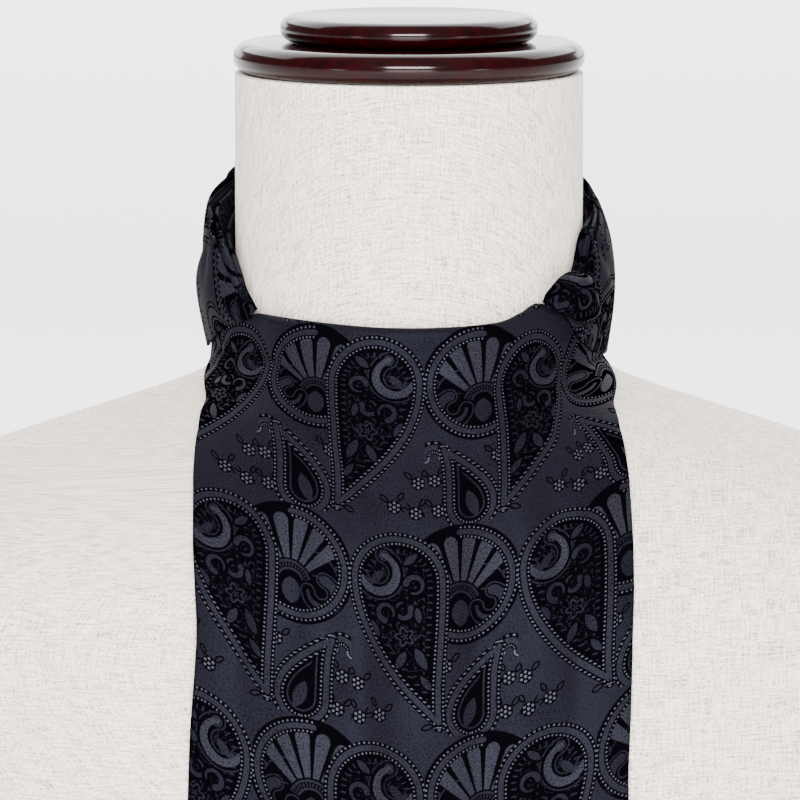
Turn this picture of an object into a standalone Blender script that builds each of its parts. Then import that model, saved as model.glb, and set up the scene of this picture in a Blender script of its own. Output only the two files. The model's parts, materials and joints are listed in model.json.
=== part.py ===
"""A silk day cravat, tied round the neck of a limbless dress form.

The cravat is a ready-pleated neckband, which goes round the nape and both sides of the
neck, and two pointed blades. At the right of the throat the cloth turns up in a small puff over
the band's end and the corner of the front blade. The other blade hangs under the front one. The form
is a linen-covered neck and chest, cut flat below, with a turned wood cap in two tiers.

Metres, +Z up. The origin is the middle of the flat base, and the front faces -Y.
Angles go round the neck from the front, positive towards +X. The tables are in millimetres
and degrees, and heights in them are from the base.
"""

import functools
import math

import bmesh
import bpy
import numpy as np

MM = 0.001

# Driving sizes of the form
NECK_RADIUS = 64.0
NECK_TOP = 539.0
CAP_LOWER_RADIUS = 64.6
CAP_LOWER_THICK = 11.0
CAP_UPPER_RADIUS = 47.4
CAP_UPPER_THICK = 9.4
SEAM_GAP = 0.3

# Driving sizes of the cravat
WALL = 1.2
BAND_WALL = 1.0
THROAT = 452.5  # height of the front fall's top edge, at the middle of the throat
BLADE_LENGTH = 345.0  # from that edge to the point
POINT_HEIGHT = 82.0
UNDER_SHORTER = 16.0
BLADE_HALF = 78.0
UNDER_SHARE = 0.93  # the under blade's width as a share of the front fall's
THROAT_HEM = 430.0  # the height behind which the under blade starts
LAID_GAP = 1.0  # between the form's linen and the cloth that lies on it
NECK_ROOT = 421.0  # the height of the hollow where the neck meets the chest
ROOT_SPAN = 11.0
SLANT_SPAN = 2.0
ROOT_BRIDGE = 1.4  # how much farther the cloth stands off there
LAYER_GAP = 1.0  # between two layers of cloth
FALL_LOFT = 3.6  # how much more the front fall stands off between its edges
FOLD_SHARE = 0.16  # of the front fall's mesh rows, those behind and over its top fold
LEG_SHARE = 0.45  # of those, the ones behind it
OVER_UNDER = (430.0, 440.0)  # heights between which the fall starts to pass over the under blade
SETTLE_BY = 0.13  # the fall's edges follow their own table after this share of its length
LOFT_RANGE = (0.08, 0.35)  # the shares of its length over which its loft grows
FOLDS_RANGE = (0.08, 0.25)
CHEST_RANGE = (0.0, 0.15)
CHEST_BLEND = 4.0
FOLD_START = (-0.15, 0.3)  # the shares of a soft fold's length over which it deepens
FOLD_END = (0.7, 1.15)
POINT_CURVE = 1.02  # a little above 1, so that the point is rounded at its tip
FORM_SIDES = 40
FORM_RINGS = (
    0, 40, 80, 120, 160, 200, 235, 265, 290, 312, 330, 345, 358, 369, 379, 388,
    396, 403, 409, 415, 420, 425, 429, 433, 437, 442, 448, 456, 470, 505, 539,
)
SHARP_ANGLE = 40.0  # degrees
CAP_STEPS = 32
CAP_ARC = 6
ROW_SPREAD = 1.6  # mesh rows lie closer where the fall leaves the throat
UNDER_ROW_SPREAD = 1.5

# The form: half its width, and its reach to the front and to the back, by height
FORM_COLUMNS = ("height", "half_width", "front", "back", "squareness")
FORM_ROWS = (
    (0, 152, 111, 92, 2.4),
    (40, 153, 112, 92, 2.4),
    (100, 158, 116, 93, 2.4),
    (160, 166, 120, 96, 2.4),
    (220, 176, 122, 101, 2.4),
    (270, 189, 120, 106, 2.4),
    (310, 202, 115, 108, 2.35),
    (340, 209, 108, 108, 2.3),
    (358, 209, 103, 107, 2.3),
    (374, 201, 97, 105, 2.25),
    (387, 185, 91, 102, 2.2),
    (398, 163, 85, 98, 2.15),
    (408, 134, 79, 93, 2.1),
    (417, 106, 74, 87, 2.05),
    (425, 83, 70, 80, 2.0),
    (432, 71, 67, 73, 2.0),
    (440, 66.2, 65, 68.5, 2.0),
    (450, 64.5, 64.2, 65.4, 2.0),
    (470, 64, 64, 64, 2.0),
    (539, 64, 64, 64, 2.0),
)

# The neckband: sections round the neck, from its left end by the nape to its right end.
# Each fold is a stand-off from the neck and a height: the inner edge, three pleat crests
# with the valleys between them, the belly and the hem.
BAND_COLUMNS = (
    "angle",
    "inner_gap", "inner_z",
    "crest_c_gap", "crest_c_z",
    "valley_cb_gap", "valley_cb_z",
    "crest_b_gap", "crest_b_z",
    "valley_ba_gap", "valley_ba_z",
    "crest_a_gap", "crest_a_z",
    "outer_gap", "outer_z",
    "belly_gap", "belly_z",
    "hem_gap", "hem_z",
)
BAND_ROWS = (
    (-54, 3.0, 457.6, 3.2, 457.9, 3.5, 457.6, 3.9, 457.6, 4.3, 457.2, 4.7, 457, 5.1, 456.4, 5.4, 455.6, 5.5, 454.6),
    (-59, 1.8, 458.2, 2.8, 460, 3.4, 459.2, 4.1, 459.5, 4.9, 458.3, 5.7, 458.4, 6.5, 456.8, 7.0, 454.4, 6.5, 452),
    (-64, 1.4, 460.2, 3.0, 464.2, 4.0, 463.4, 5.2, 464.4, 6.2, 462, 7.4, 462.4, 8.6, 458.8, 9.0, 454, 7.4, 450),
    (-69, 1.2, 466.6, 2.8, 469.6, 4.0, 468.4, 5.6, 471.4, 6.8, 467.6, 8.2, 469, 9.8, 462.6, 11.0, 454.6, 8.8, 447.4),
    (-78, 1.1, 472.6, 2.6, 476, 4.0, 474, 6.2, 480.4, 7.8, 474.4, 9.2, 479.4, 11.4, 470.4, 12.9, 456.8, 10.0, 443.2),
    (-90, 1.1, 476, 2.6, 480, 4.2, 477, 6.8, 488, 8.5, 479, 9.8, 490, 12.0, 478, 14.2, 461, 10.2, 439.4),
    (-106, 1.1, 478, 2.8, 486, 4.4, 483, 6.0, 492, 6.8, 485, 7.2, 498, 10.6, 484, 13.2, 465, 10.8, 441),
    (-125, 1.1, 480, 3.0, 494, 4.5, 491, 5.8, 498, 7.0, 489, 7.8, 504, 9.8, 488, 11.2, 469, 10.2, 447),
    (-155, 1.1, 483, 3.0, 500, 4.4, 497, 5.7, 503, 7.0, 494, 7.8, 509, 9.0, 493, 9.6, 475, 8.6, 452),
    (-180, 1.1, 484, 3.0, 502, 4.4, 499, 5.7, 505, 7.0, 496, 7.8, 511, 9.0, 494, 9.4, 476, 8.2, 453),
    (-205, 1.1, 483, 3.0, 501, 4.4, 498, 5.7, 504, 7.0, 495, 7.8, 510, 9.0, 494, 9.4, 476, 8.4, 452),
    (-236, 1.1, 482, 2.8, 495, 4.0, 492, 5.1, 498, 5.8, 489, 6.4, 503, 8.0, 488, 9.6, 470, 9.4, 446),
    (-254, 1.1, 484, 2.6, 489.6, 3.6, 487, 4.4, 492, 4.9, 486, 5.2, 496, 7.6, 484, 10.6, 466, 9.8, 441),
    (-270, 1.1, 484.5, 2.4, 487.6, 3.5, 484.6, 4.8, 488, 5.7, 481, 6.6, 487.4, 10.4, 476.4, 11.8, 461, 9.0, 437.8),
    (-280, 1.1, 483, 2.3, 485, 3.3, 482, 4.6, 484, 5.7, 477, 6.8, 481.5, 10.4, 471, 11.8, 456, 9.0, 436.8),
    (-288, 1.1, 480, 2.2, 481.6, 3.2, 479, 4.4, 479.6, 5.5, 473, 6.8, 475, 9.4, 465, 11.0, 452, 8.9, 437.8),
    (-294, 1.3, 469.8, 2.2, 472, 3.1, 470.4, 4.1, 471, 5.0, 466.4, 6.0, 467.4, 8.2, 459.6, 10.0, 449.6, 8.6, 440.2),
    (-300, 1.6, 462.4, 2.2, 463.6, 2.8, 462.8, 3.5, 462.8, 4.2, 460.4, 5.0, 460.4, 6.7, 455.6, 8.2, 449.6, 7.8, 444.6),
    (-308, 3.2, 458.8, 3.4, 459.2, 3.7, 458.8, 4.1, 458.8, 4.5, 458.4, 4.9, 458.2, 5.3, 457.4, 5.6, 456.6, 5.7, 455.6),
)

# The puff at the right of the throat, over the front blade's corner and the band's end
WRAP_COLUMNS = (
    "angle",
    "inner_gap", "inner_z",
    "crest_gap", "crest_z",
    "shoulder_gap", "shoulder_z",
    "belly_gap", "belly_z",
    "hem_gap", "hem_z",
)
WRAP_ROWS = (
    (43, 4.9, 460.0, 5.5, 460.5, 6.1, 460.0, 6.7, 459.0, 6.9, 457.8),
    (46, 3.4, 461.8, 5.2, 463.6, 7.6, 462.6, 8.8, 460.2, 8.4, 457.2),
    (50, 2.4, 463.2, 5.2, 467.2, 9.4, 465.2, 11.4, 460.2, 10.2, 455.2),
    (54, 2.2, 465.0, 5.6, 470.2, 10.8, 467.4, 12.8, 459.8, 11.4, 453.2),
    (58, 2.6, 466.4, 6.2, 471.4, 11.4, 467.6, 13.4, 459.4, 12.2, 452.4),
    (62, 5.0, 466.2, 8.0, 469.8, 11.6, 466.0, 13.0, 458.6, 12.2, 452.6),
    (66, 9.4, 463.6, 10.4, 465.4, 11.6, 462.6, 12.0, 457.6, 11.6, 453.6),
)

# The front blade's top edge round the throat: its height, how far its inner leg stands off the
# neck, how far apart its two legs are and how far its cloth goes down again behind the fold
THROAT_COLUMNS = ("angle", "height", "gap", "roll", "behind")
THROAT_ROWS = (
    (-92, 440.4, 6.8, 1.6, 2.5),
    (-84, 441.8, 6.8, 1.6, 2.5),
    (-74, 446.0, 6.2, 1.6, 2.5),
    (-66, 449.8, 4.8, 1.6, 2.5),
    (-60, 452.4, 2.9, 1.6, 2.5),
    (-54, 454.2, 1.6, 1.6, 4.0),
    (-46, 454.3, 1.6, 3.4, 7.0),
    (-36, 454.0, 1.6, 4.4, 9.0),
    (0, 452.5, 1.6, 4.6, 10.0),
    (16, 452.8, 1.6, 4.6, 9.0),
    (28, 453.6, 1.6, 4.4, 8.0),
    (38, 456.8, 1.6, 3.4, 6.0),
    (43, 459.0, 1.6, 2.6, 4.0),
    (48, 458.2, 1.6, 1.8, 3.0),
    (52, 456.0, 1.8, 1.6, 2.5),
    (60, 446.2, 3.9, 1.6, 2.5),
    (66, 442.0, 5.4, 1.6, 2.5),
    (72, 439.6, 5.7, 1.6, 2.5),
    (78, 438.6, 5.8, 1.6, 2.5),
    (85, 438.2, 5.8, 1.6, 2.5),
)

# The front fall: its left and right edge as angles from the neck's axis, by height
FALL_COLUMNS = ("height", "left", "right")
FALL_ROWS = (
    (442, -92, 85),
    (436, -78, 74),
    (428, -62, 61),
    (415, -50, 50),
    (385, -40.5, 41.5),
    (345, -35.4, 36.8),
    (285, -33.8, 33.6),
    (235, -32.6, 33.8),
    (185, -33.4, 33),
    (107, -33, 34),
)

# Soft folds of the front fall: where each starts and ends across (-1 to 1) and in height,
# and its depth and width. A negative depth is a ridge.
FOLD_COLUMNS = ("across_from", "height_from", "across_to", "height_to", "depth", "width")
FALL_FOLDS = (
    (-0.62, 438, -0.24, 382, 3.2, 8.0),
    (-0.26, 388, -0.36, 235, 3.0, 10.0),
    (0.30, 436, 0.38, 240, 3.0, 9.0),
    (0.02, 410, 0.04, 190, -1.6, 14.0),
    (0.62, 444, 0.74, 340, 2.6, 7.0),
    (-0.74, 432, -0.80, 352, 2.4, 7.0),
    (0.70, 330, 0.62, 140, 2.8, 11.0),
    (-0.72, 330, -0.60, 140, 2.8, 11.0),
    (-0.06, 300, -0.12, 160, 1.8, 12.0),
)


def column(rows, names, name):
    return np.array([row[names.index(name)] for row in rows], float)


def eased(rows, names, name, at):
    """The named column at a place along the rows, on a smooth curve with no overshoot."""
    places = column(rows, names, names[0])
    values = column(rows, names, name)
    if places[0] > places[-1]:
        places, values = places[::-1], values[::-1]
    slopes = np.diff(values) / np.diff(places)
    bends = np.zeros(len(values))
    same_way = slopes[:-1] * slopes[1:] > 0
    bends[1:-1][same_way] = 2 / (1 / slopes[:-1][same_way] + 1 / slopes[1:][same_way])
    at = min(max(at, places[0]), places[-1])
    i = min(int(np.searchsorted(places, at, side="right")) - 1, len(slopes) - 1)
    width = places[i + 1] - places[i]
    t = (at - places[i]) / width
    return float(
        values[i] * (1 + 2 * t) * (1 - t) ** 2
        + values[i + 1] * t * t * (3 - 2 * t)
        + width * (bends[i] * t * (1 - t) ** 2 - bends[i + 1] * t * t * (1 - t))
    )


def step(low, high, at):
    t = min(max((at - low) / (high - low), 0.0), 1.0)
    return t * t * (3 - 2 * t)


def round_max(a, b, blend):
    """The larger of two reaches, with the corner between them rounded off."""
    return 0.5 * (a + b + math.sqrt((a - b) ** 2 + blend**2))


def form_reach(angle, height):
    """How far the form's surface lies from the neck's axis, at an angle and a height."""
    half_width = eased(FORM_ROWS, FORM_COLUMNS, "half_width", height)
    depth = eased(FORM_ROWS, FORM_COLUMNS, "front" if math.cos(angle) > 0 else "back", height)
    power = eased(FORM_ROWS, FORM_COLUMNS, "squareness", height)
    across = abs(math.sin(angle)) / half_width
    along = abs(math.cos(angle)) / depth
    return (across**power + along**power) ** (-1 / power)


def laid_reach(angle, height):
    """The reach of the inner face of cloth that lies on the form and spans its hollow."""
    bridge = ROOT_BRIDGE * math.exp(-(((height - NECK_ROOT) / ROOT_SPAN) ** 2))
    return form_reach(angle, height) + LAID_GAP + bridge


def slant(angle, height):
    """How much longer a stand-off from the form is level than square to its surface."""
    low, high = height - SLANT_SPAN, height + SLANT_SPAN
    rise = (form_reach(angle, high) - form_reach(angle, low)) / (high - low)
    return math.hypot(1.0, rise)


def on_axis(angle, reach, height):
    """The point at this angle, reach and height round the neck's axis, in metres."""
    return (MM * reach * math.sin(angle), -MM * reach * math.cos(angle), MM * height)


def material(name, colour, roughness, metallic=0.0):
    made = bpy.data.materials.new(name)
    made.use_nodes = True
    shader = made.node_tree.nodes["Principled BSDF"]
    shader.inputs["Base Color"].default_value = (*colour, 1.0)
    shader.inputs["Roughness"].default_value = roughness
    shader.inputs["Metallic"].default_value = metallic
    return made


def add_object(name, mesh, finish, parts):
    mesh.materials.append(finish)
    made = bpy.data.objects.new(name, mesh)
    parts.objects.link(made)
    mesh.shade_smooth()
    return made


def cloth(name, place, across, along, wall, finish, parts):
    """A sheet of cloth: a flat grid, each point moved to its place, with the wall's thickness."""
    grid = bmesh.new()
    bmesh.ops.create_grid(grid, x_segments=across, y_segments=along, size=0.5)
    for vertex in grid.verts:
        vertex.co = place(vertex.co.x + 0.5, vertex.co.y + 0.5)
    bmesh.ops.recalc_face_normals(grid, faces=grid.faces)
    mesh = bpy.data.meshes.new(name)
    grid.to_mesh(mesh)
    grid.free()
    made = add_object(name, mesh, finish, parts)
    thicken = made.modifiers.new("wall", "SOLIDIFY")
    thicken.thickness = MM * wall
    thicken.offset = 0.0
    thicken.use_even_offset = False
    return made


def form_body(finish, parts):
    """The form's neck and chest, lofted through its sections from the base to the cap."""
    loft = bmesh.new()
    turns = [2 * math.pi * i / FORM_SIDES for i in range(FORM_SIDES)]
    rings = []
    for height in FORM_RINGS:
        rings.append([loft.verts.new(on_axis(t, form_reach(t, height), height)) for t in turns])
    for low, high in zip(rings, rings[1:]):
        for i in range(FORM_SIDES):
            j = (i + 1) % FORM_SIDES
            loft.faces.new((low[i], low[j], high[j], high[i]))
    loft.faces.new(rings[0][::-1])
    loft.faces.new(rings[-1])
    bmesh.ops.recalc_face_normals(loft, faces=loft.faces)
    mesh = bpy.data.meshes.new("form_body")
    loft.to_mesh(mesh)
    loft.free()
    made = add_object("form_body", mesh, finish, parts)
    mesh.set_sharp_from_angle(angle=math.radians(SHARP_ANGLE))
    return made


def cap_tier(name, radius, base, thick, finish, parts):
    """One turned tier of the cap: a disc with a half-round edge, its profile top to bottom."""
    edge = thick / 2
    profile = [(0.0, base + thick)]
    for i in range(CAP_ARC + 1):
        turn = math.pi * (0.5 - i / CAP_ARC)
        profile.append((radius - edge + edge * math.cos(turn), base + edge + edge * math.sin(turn)))
    profile.append((0.0, base))
    outline = bmesh.new()
    points = [outline.verts.new((MM * x, 0, MM * z)) for x, z in profile]
    for first, second in zip(points, points[1:]):
        outline.edges.new((first, second))
    mesh = bpy.data.meshes.new(name)
    outline.to_mesh(mesh)
    outline.free()
    made = add_object(name, mesh, finish, parts)
    turned = made.modifiers.new("turned", "SCREW")
    turned.axis = "Z"
    turned.steps = CAP_STEPS
    turned.render_steps = CAP_STEPS
    turned.use_merge_vertices = True
    turned.merge_threshold = 0.00001
    return made


def through(points, share):
    """A point on the smooth curve through these (gap, height) points, at a share of it."""
    span = len(points) - 1
    at = min(max(share, 0.0), 1.0) * span
    i = min(int(at), span - 1)
    t = at - i
    before = points[max(i - 1, 0)]
    a, b = points[i], points[i + 1]
    after = points[min(i + 2, span)]
    return tuple(
        0.5 * (2 * a[k] + (b[k] - before[k]) * t
               + (2 * before[k] - 5 * a[k] + 4 * b[k] - after[k]) * t * t
               + (3 * a[k] - before[k] - 3 * b[k] + after[k]) * t**3)
        for k in (0, 1)
    )


def section_at(rows, names, degrees):
    """The (gap, height) points of a section, read from its table at an angle."""
    folds = [name[:-4] for name in names if name.endswith("_gap")]
    return [
        tuple(eased(rows, names, f"{fold}_{side}", degrees) for side in ("gap", "z"))
        for fold in folds
    ]


def wound_place(rows, names, wall, along, across):
    """A point of cloth wound round the neck: along it by angle, across it from its inner edge."""
    degrees = rows[0][0] + (rows[-1][0] - rows[0][0]) * along
    gap, height = through(section_at(rows, names, degrees), across)
    angle = math.radians(degrees)
    reach = max(NECK_RADIUS + gap, laid_reach(angle, height) + wall / 2)
    return on_axis(angle, reach, height)


def fold_depth(across, height):
    """How far the front fall's soft folds set it back at this place."""
    total = 0.0
    for row in FALL_FOLDS:
        fold = dict(zip(FOLD_COLUMNS, row))
        share = (fold["height_from"] - height) / (fold["height_from"] - fold["height_to"])
        ends = step(*FOLD_START, share) * (1 - step(*FOLD_END, share))
        middle = fold["across_from"] + (fold["across_to"] - fold["across_from"]) * share
        off = (across - middle) * BLADE_HALF / fold["width"]
        total += fold["depth"] * ends * math.exp(-off * off)
    return total


def top_fold(degrees, down):
    """A point of the front fall behind its top edge and over the fold: its reach and height."""
    top, gap, apart, behind = (
        eased(THROAT_ROWS, THROAT_COLUMNS, name, degrees) for name in THROAT_COLUMNS[1:]
    )
    angle = math.radians(degrees)
    roll = apart / 2
    inner = max(NECK_RADIUS + gap, laid_reach(angle, top - roll) + WALL / 2)
    if down < LEG_SHARE:
        height = top - roll - max(behind - roll, 0) * (1 - down / LEG_SHARE)
        return max(inner, laid_reach(angle, height) + WALL / 2), height
    turn = math.pi * (1 - (down - LEG_SHARE) / (1 - LEG_SHARE))
    return inner + roll + roll * math.cos(turn), top - roll + roll * math.sin(turn)


def front_fall_place(across, down):
    """A point of the front fall: across it from left to right, and from behind its top fold,
    over the fold and down to its edge below."""
    side = 2 * across - 1
    degrees = THROAT_ROWS[0][0] + (THROAT_ROWS[-1][0] - THROAT_ROWS[0][0]) * across
    if down < FOLD_SHARE:
        reach, height = top_fold(degrees, down / FOLD_SHARE)
        return on_axis(math.radians(degrees), reach, height)
    share = (down - FOLD_SHARE) / (1 - FOLD_SHARE)
    outer, start = top_fold(degrees, 1.0)
    bottom = THROAT - BLADE_LENGTH + POINT_HEIGHT * abs(side) ** POINT_CURVE
    height = start + (bottom - start) * share**ROW_SPREAD
    left = eased(FALL_ROWS, FALL_COLUMNS, "left", height)
    right = eased(FALL_ROWS, FALL_COLUMNS, "right", height)
    degrees += (left + (right - left) * across - degrees) * step(0.0, SETTLE_BY, share)
    angle = math.radians(degrees)
    laid = laid_reach(angle, height) + WALL / 2
    over_blade = (WALL + LAYER_GAP) * slant(angle, height) * (1 - step(*OVER_UNDER, height))
    loft = FALL_LOFT * (1 - side**4) * step(*LOFT_RANGE, share)
    reach = round_max(laid + over_blade + loft, outer, CHEST_BLEND)
    reach -= fold_depth(side, height) * step(*FOLDS_RANGE, share)
    reach = outer + (reach - outer) * step(*CHEST_RANGE, share)
    return on_axis(angle, max(reach, laid + over_blade), height)


def under_fall_place(across, down):
    """A point of the under blade, which lies on the linen behind the front fall."""
    side = 2 * across - 1
    top = THROAT_HEM - LAYER_GAP
    rise = POINT_HEIGHT * abs(side) ** POINT_CURVE
    bottom = THROAT - BLADE_LENGTH + UNDER_SHORTER + rise
    height = top + (bottom - top) * down**UNDER_ROW_SPREAD
    left = eased(FALL_ROWS, FALL_COLUMNS, "left", height)
    right = eased(FALL_ROWS, FALL_COLUMNS, "right", height)
    degrees = left + (right - left) * (0.5 + 0.5 * UNDER_SHARE * side)
    angle = math.radians(degrees)
    return on_axis(angle, laid_reach(angle, height) + WALL / 2, height)


def main():
    for old in list(bpy.data.objects):
        bpy.data.objects.remove(old)
    parts = bpy.data.collections.new("silk_cravat")
    bpy.context.scene.collection.children.link(parts)
    silk = material("silk_jacquard", (0.012, 0.012, 0.018), 0.4)
    linen = material("linen", (0.76, 0.73, 0.69), 0.9)
    cherry = material("cherry_wood", (0.09, 0.006, 0.01), 0.15)
    form_body(linen, parts)
    lower_base = NECK_TOP + SEAM_GAP
    cap_tier("cap_lower", CAP_LOWER_RADIUS, lower_base, CAP_LOWER_THICK, cherry, parts)
    upper_base = lower_base + CAP_LOWER_THICK + SEAM_GAP
    cap_tier("cap_upper", CAP_UPPER_RADIUS, upper_base, CAP_UPPER_THICK, cherry, parts)
    band = functools.partial(wound_place, BAND_ROWS, BAND_COLUMNS, BAND_WALL)
    wrap = functools.partial(wound_place, WRAP_ROWS, WRAP_COLUMNS, WALL)
    cloth("neck_band", band, 50, 25, BAND_WALL, silk, parts)
    cloth("throat_wrap", wrap, 24, 12, WALL, silk, parts)
    cloth("under_blade", under_fall_place, 14, 26, WALL, silk, parts)
    cloth("front_blade", front_fall_place, 26, 40, WALL, silk, parts)


main()
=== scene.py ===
# %% [markdown]
# # A silk day cravat on a dress form
# This lesson dresses a solid model with cloth, linen and polished wood. The solids give the
# place and the size of every piece. Here each of them gets a finer piece of the same form, and a
# material made from nodes. All lengths are in metres unless a name ends in `_MM`.

# %% Start from the solids
import json
import math

import bmesh
import bpy
import numpy as np
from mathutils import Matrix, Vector

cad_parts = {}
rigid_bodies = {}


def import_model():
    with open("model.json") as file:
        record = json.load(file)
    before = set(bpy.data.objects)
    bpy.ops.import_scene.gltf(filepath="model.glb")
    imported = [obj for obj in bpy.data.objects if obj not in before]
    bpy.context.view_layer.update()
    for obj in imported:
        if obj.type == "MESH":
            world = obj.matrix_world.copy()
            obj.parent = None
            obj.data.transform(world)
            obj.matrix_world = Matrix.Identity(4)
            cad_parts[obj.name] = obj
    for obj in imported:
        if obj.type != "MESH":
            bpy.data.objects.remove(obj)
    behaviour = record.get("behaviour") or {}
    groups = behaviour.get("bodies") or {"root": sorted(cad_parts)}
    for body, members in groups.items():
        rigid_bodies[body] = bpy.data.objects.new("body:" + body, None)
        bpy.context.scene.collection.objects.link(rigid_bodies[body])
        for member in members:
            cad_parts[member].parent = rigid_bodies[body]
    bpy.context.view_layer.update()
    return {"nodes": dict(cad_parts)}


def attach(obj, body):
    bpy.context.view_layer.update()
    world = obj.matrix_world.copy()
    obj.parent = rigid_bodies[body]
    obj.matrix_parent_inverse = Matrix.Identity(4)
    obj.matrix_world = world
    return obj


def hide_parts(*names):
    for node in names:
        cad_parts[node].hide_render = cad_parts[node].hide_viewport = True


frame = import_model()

print("nodes:", ", ".join(sorted(frame["nodes"])))

# %% [markdown]
# ## The camera
# A long lens from two metres keeps the two tiers of the cap nearly level and the neck nearly
# straight-sided. It stands a little above the cravat, so that the top of the cap shows as a thin
# ellipse. The lens follows from the distance and from how wide the view is at the neck.

# %% Place the camera
CAMERA_DISTANCE = 2.0
CAMERA_LIFT = math.radians(8.2)
SENSOR_WIDTH = 36.0
FARTHEST = 20.0
VIEW_WIDTH = 0.2963
VIEW_CENTRE = Vector((-0.0033, 0.0, 0.4174))

camera = bpy.data.objects.new("camera", bpy.data.cameras.new("camera"))
bpy.context.scene.collection.objects.link(camera)
away = Vector((0.0, -math.cos(CAMERA_LIFT), math.sin(CAMERA_LIFT)))
camera.location = VIEW_CENTRE + away * CAMERA_DISTANCE
camera.rotation_euler = (-away).to_track_quat("-Z", "Y").to_euler()
camera.data.sensor_width = SENSOR_WIDTH
camera.data.lens = SENSOR_WIDTH * CAMERA_DISTANCE / VIEW_WIDTH
camera.data.clip_end = FARTHEST
bpy.context.scene.camera = camera
print("lens:", round(camera.data.lens), "mm")

# %% [markdown]
# ## The light
# Black silk shows only by its gloss, so the lights are large and soft and stand where the satin
# threads can mirror them: a wide bank above the front, a low one that fills the shadows, and a
# small faint window on each side. A panel behind lights the top of the cap, and a ceiling of
# light far behind whitens the floor.

# %% Hang the lights
LIGHT_COLUMNS = ("name", "x", "y", "z", "width", "height", "watts")
LIGHT_ROWS = (
    ("key", 0.0, -2.4, 1.35, 1.2, 0.35, 165.0),
    ("left_window", -1.9, -1.8, 0.3, 0.4, 0.3, 4.0),
    ("right_window", 1.9, -1.8, 0.3, 0.4, 0.3, 4.0),
    ("fill", 0.0, -2.6, 0.2, 1.4, 0.8, 44.0),
    ("back", 0.0, 3.4, 1.0, 5.0, 0.8, 46.0),
    ("sweep", 0.0, 12.0, 7.0, 20.0, 20.0, 8000.0),
)
LIT_POINT = Vector((0.0, 0.0, 0.42))


def hang_light(row):
    """A soft rectangular light that faces the middle of the cravat."""
    size = dict(zip(LIGHT_COLUMNS, row))
    aim = Vector((0.0, size["y"], 0.0)) if size["name"] == "sweep" else LIT_POINT
    lamp = bpy.data.lights.new(size["name"], "AREA")
    lamp.shape = "RECTANGLE"
    lamp.size = size["width"]
    lamp.size_y = size["height"]
    lamp.energy = size["watts"]
    holder = bpy.data.objects.new(size["name"], lamp)
    holder.location = (size["x"], size["y"], size["z"])
    holder.rotation_euler = (aim - holder.location).to_track_quat("-Z", "Y").to_euler()
    bpy.context.scene.collection.objects.link(holder)


for light_row in LIGHT_ROWS:
    hang_light(light_row)

print("lights:", len(LIGHT_ROWS))

# %% [markdown]
# The world is a pale room that keeps the linen clean. It is dimmer to the left and to the right,
# so that the polished cap mirrors something darker at its sides and looks round.

# %% Paint the room
WORLD_STRENGTH = 0.75
SIDE_STRENGTH = 0.3
DIM_FROM = 0.25  # how far aside the room starts to dim, from 0 (ahead) to 1 (full left or right)
DIM_TO = 0.8

studio = bpy.data.worlds.new("studio")
bpy.context.scene.world = studio
studio.use_nodes = True
room = studio.node_tree
backdrop = room.nodes["Background"]
backdrop.inputs["Color"].default_value = (1.0, 1.0, 1.0, 1.0)
sky = room.nodes.new("ShaderNodeTexCoord")
aside = room.nodes.new("ShaderNodeSeparateXYZ")
level = room.nodes.new("ShaderNodeMath")
level.operation = "ABSOLUTE"
dimmed = room.nodes.new("ShaderNodeMapRange")
dimmed.inputs["From Min"].default_value = DIM_FROM
dimmed.inputs["From Max"].default_value = DIM_TO
dimmed.inputs["To Min"].default_value = WORLD_STRENGTH
dimmed.inputs["To Max"].default_value = SIDE_STRENGTH
room.links.new(sky.outputs["Generated"], aside.inputs[0])
room.links.new(aside.outputs["X"], level.inputs[0])
room.links.new(level.outputs[0], dimmed.inputs["Value"])
room.links.new(dimmed.outputs[0], backdrop.inputs["Strength"])
print("the room's light:", WORLD_STRENGTH, "ahead and", SIDE_STRENGTH, "at the sides")

# %% [markdown]
# ## Smooth tables
# The form and the cloth are drawn as sections: a table gives a few points of each section, and
# smooth curves fill in the rest. `eased` never overshoots its table, so a straight stretch stays
# straight. Both helpers work on whole arrays, which makes a fine mesh quick to place.

# %% Curves through tables
MM = 0.001


def column(rows, names, name):
    return np.array([row[names.index(name)] for row in rows], float)


def eased(rows, names, name, at):
    """The named column at places along the rows, on a smooth curve with no overshoot."""
    places = column(rows, names, names[0])
    values = column(rows, names, name)
    if places[0] > places[-1]:
        places, values = places[::-1], values[::-1]
    slopes = np.diff(values) / np.diff(places)
    bends = np.zeros(len(values))
    same_way = slopes[:-1] * slopes[1:] > 0
    bends[1:-1][same_way] = 2 / (1 / slopes[:-1][same_way] + 1 / slopes[1:][same_way])
    at = np.clip(at, places[0], places[-1])
    i = np.clip(np.searchsorted(places, at, side="right") - 1, 0, len(slopes) - 1)
    width = places[i + 1] - places[i]
    t = (at - places[i]) / width
    return (
        values[i] * (1 + 2 * t) * (1 - t) ** 2
        + values[i + 1] * t * t * (3 - 2 * t)
        + width * (bends[i] * t * (1 - t) ** 2 - bends[i + 1] * t * t * (1 - t))
    )


def step(low, high, at):
    t = np.clip((at - low) / (high - low), 0.0, 1.0)
    return t * t * (3 - 2 * t)


def round_max(a, b, blend):
    """The larger of two reaches, with the corner between them rounded off."""
    return 0.5 * (a + b + np.sqrt((a - b) ** 2 + blend**2))


def on_axis(angle, reach, height):
    """Points round the neck's axis, in metres, from angles and from sizes in millimetres."""
    return np.stack([reach * np.sin(angle), -reach * np.cos(angle), height], axis=-1) * MM


print("a step half way:", float(step(0.0, 1.0, np.array(0.5))))

# %% [markdown]
# ## The form
# A countertop bust: a padded neck and chest under stretched linen. Its sections are rounded
# rectangles (superellipses) that change slowly from the flat base to the round neck. The cloth is
# placed by the same table, so it always lies just off the linen.

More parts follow.
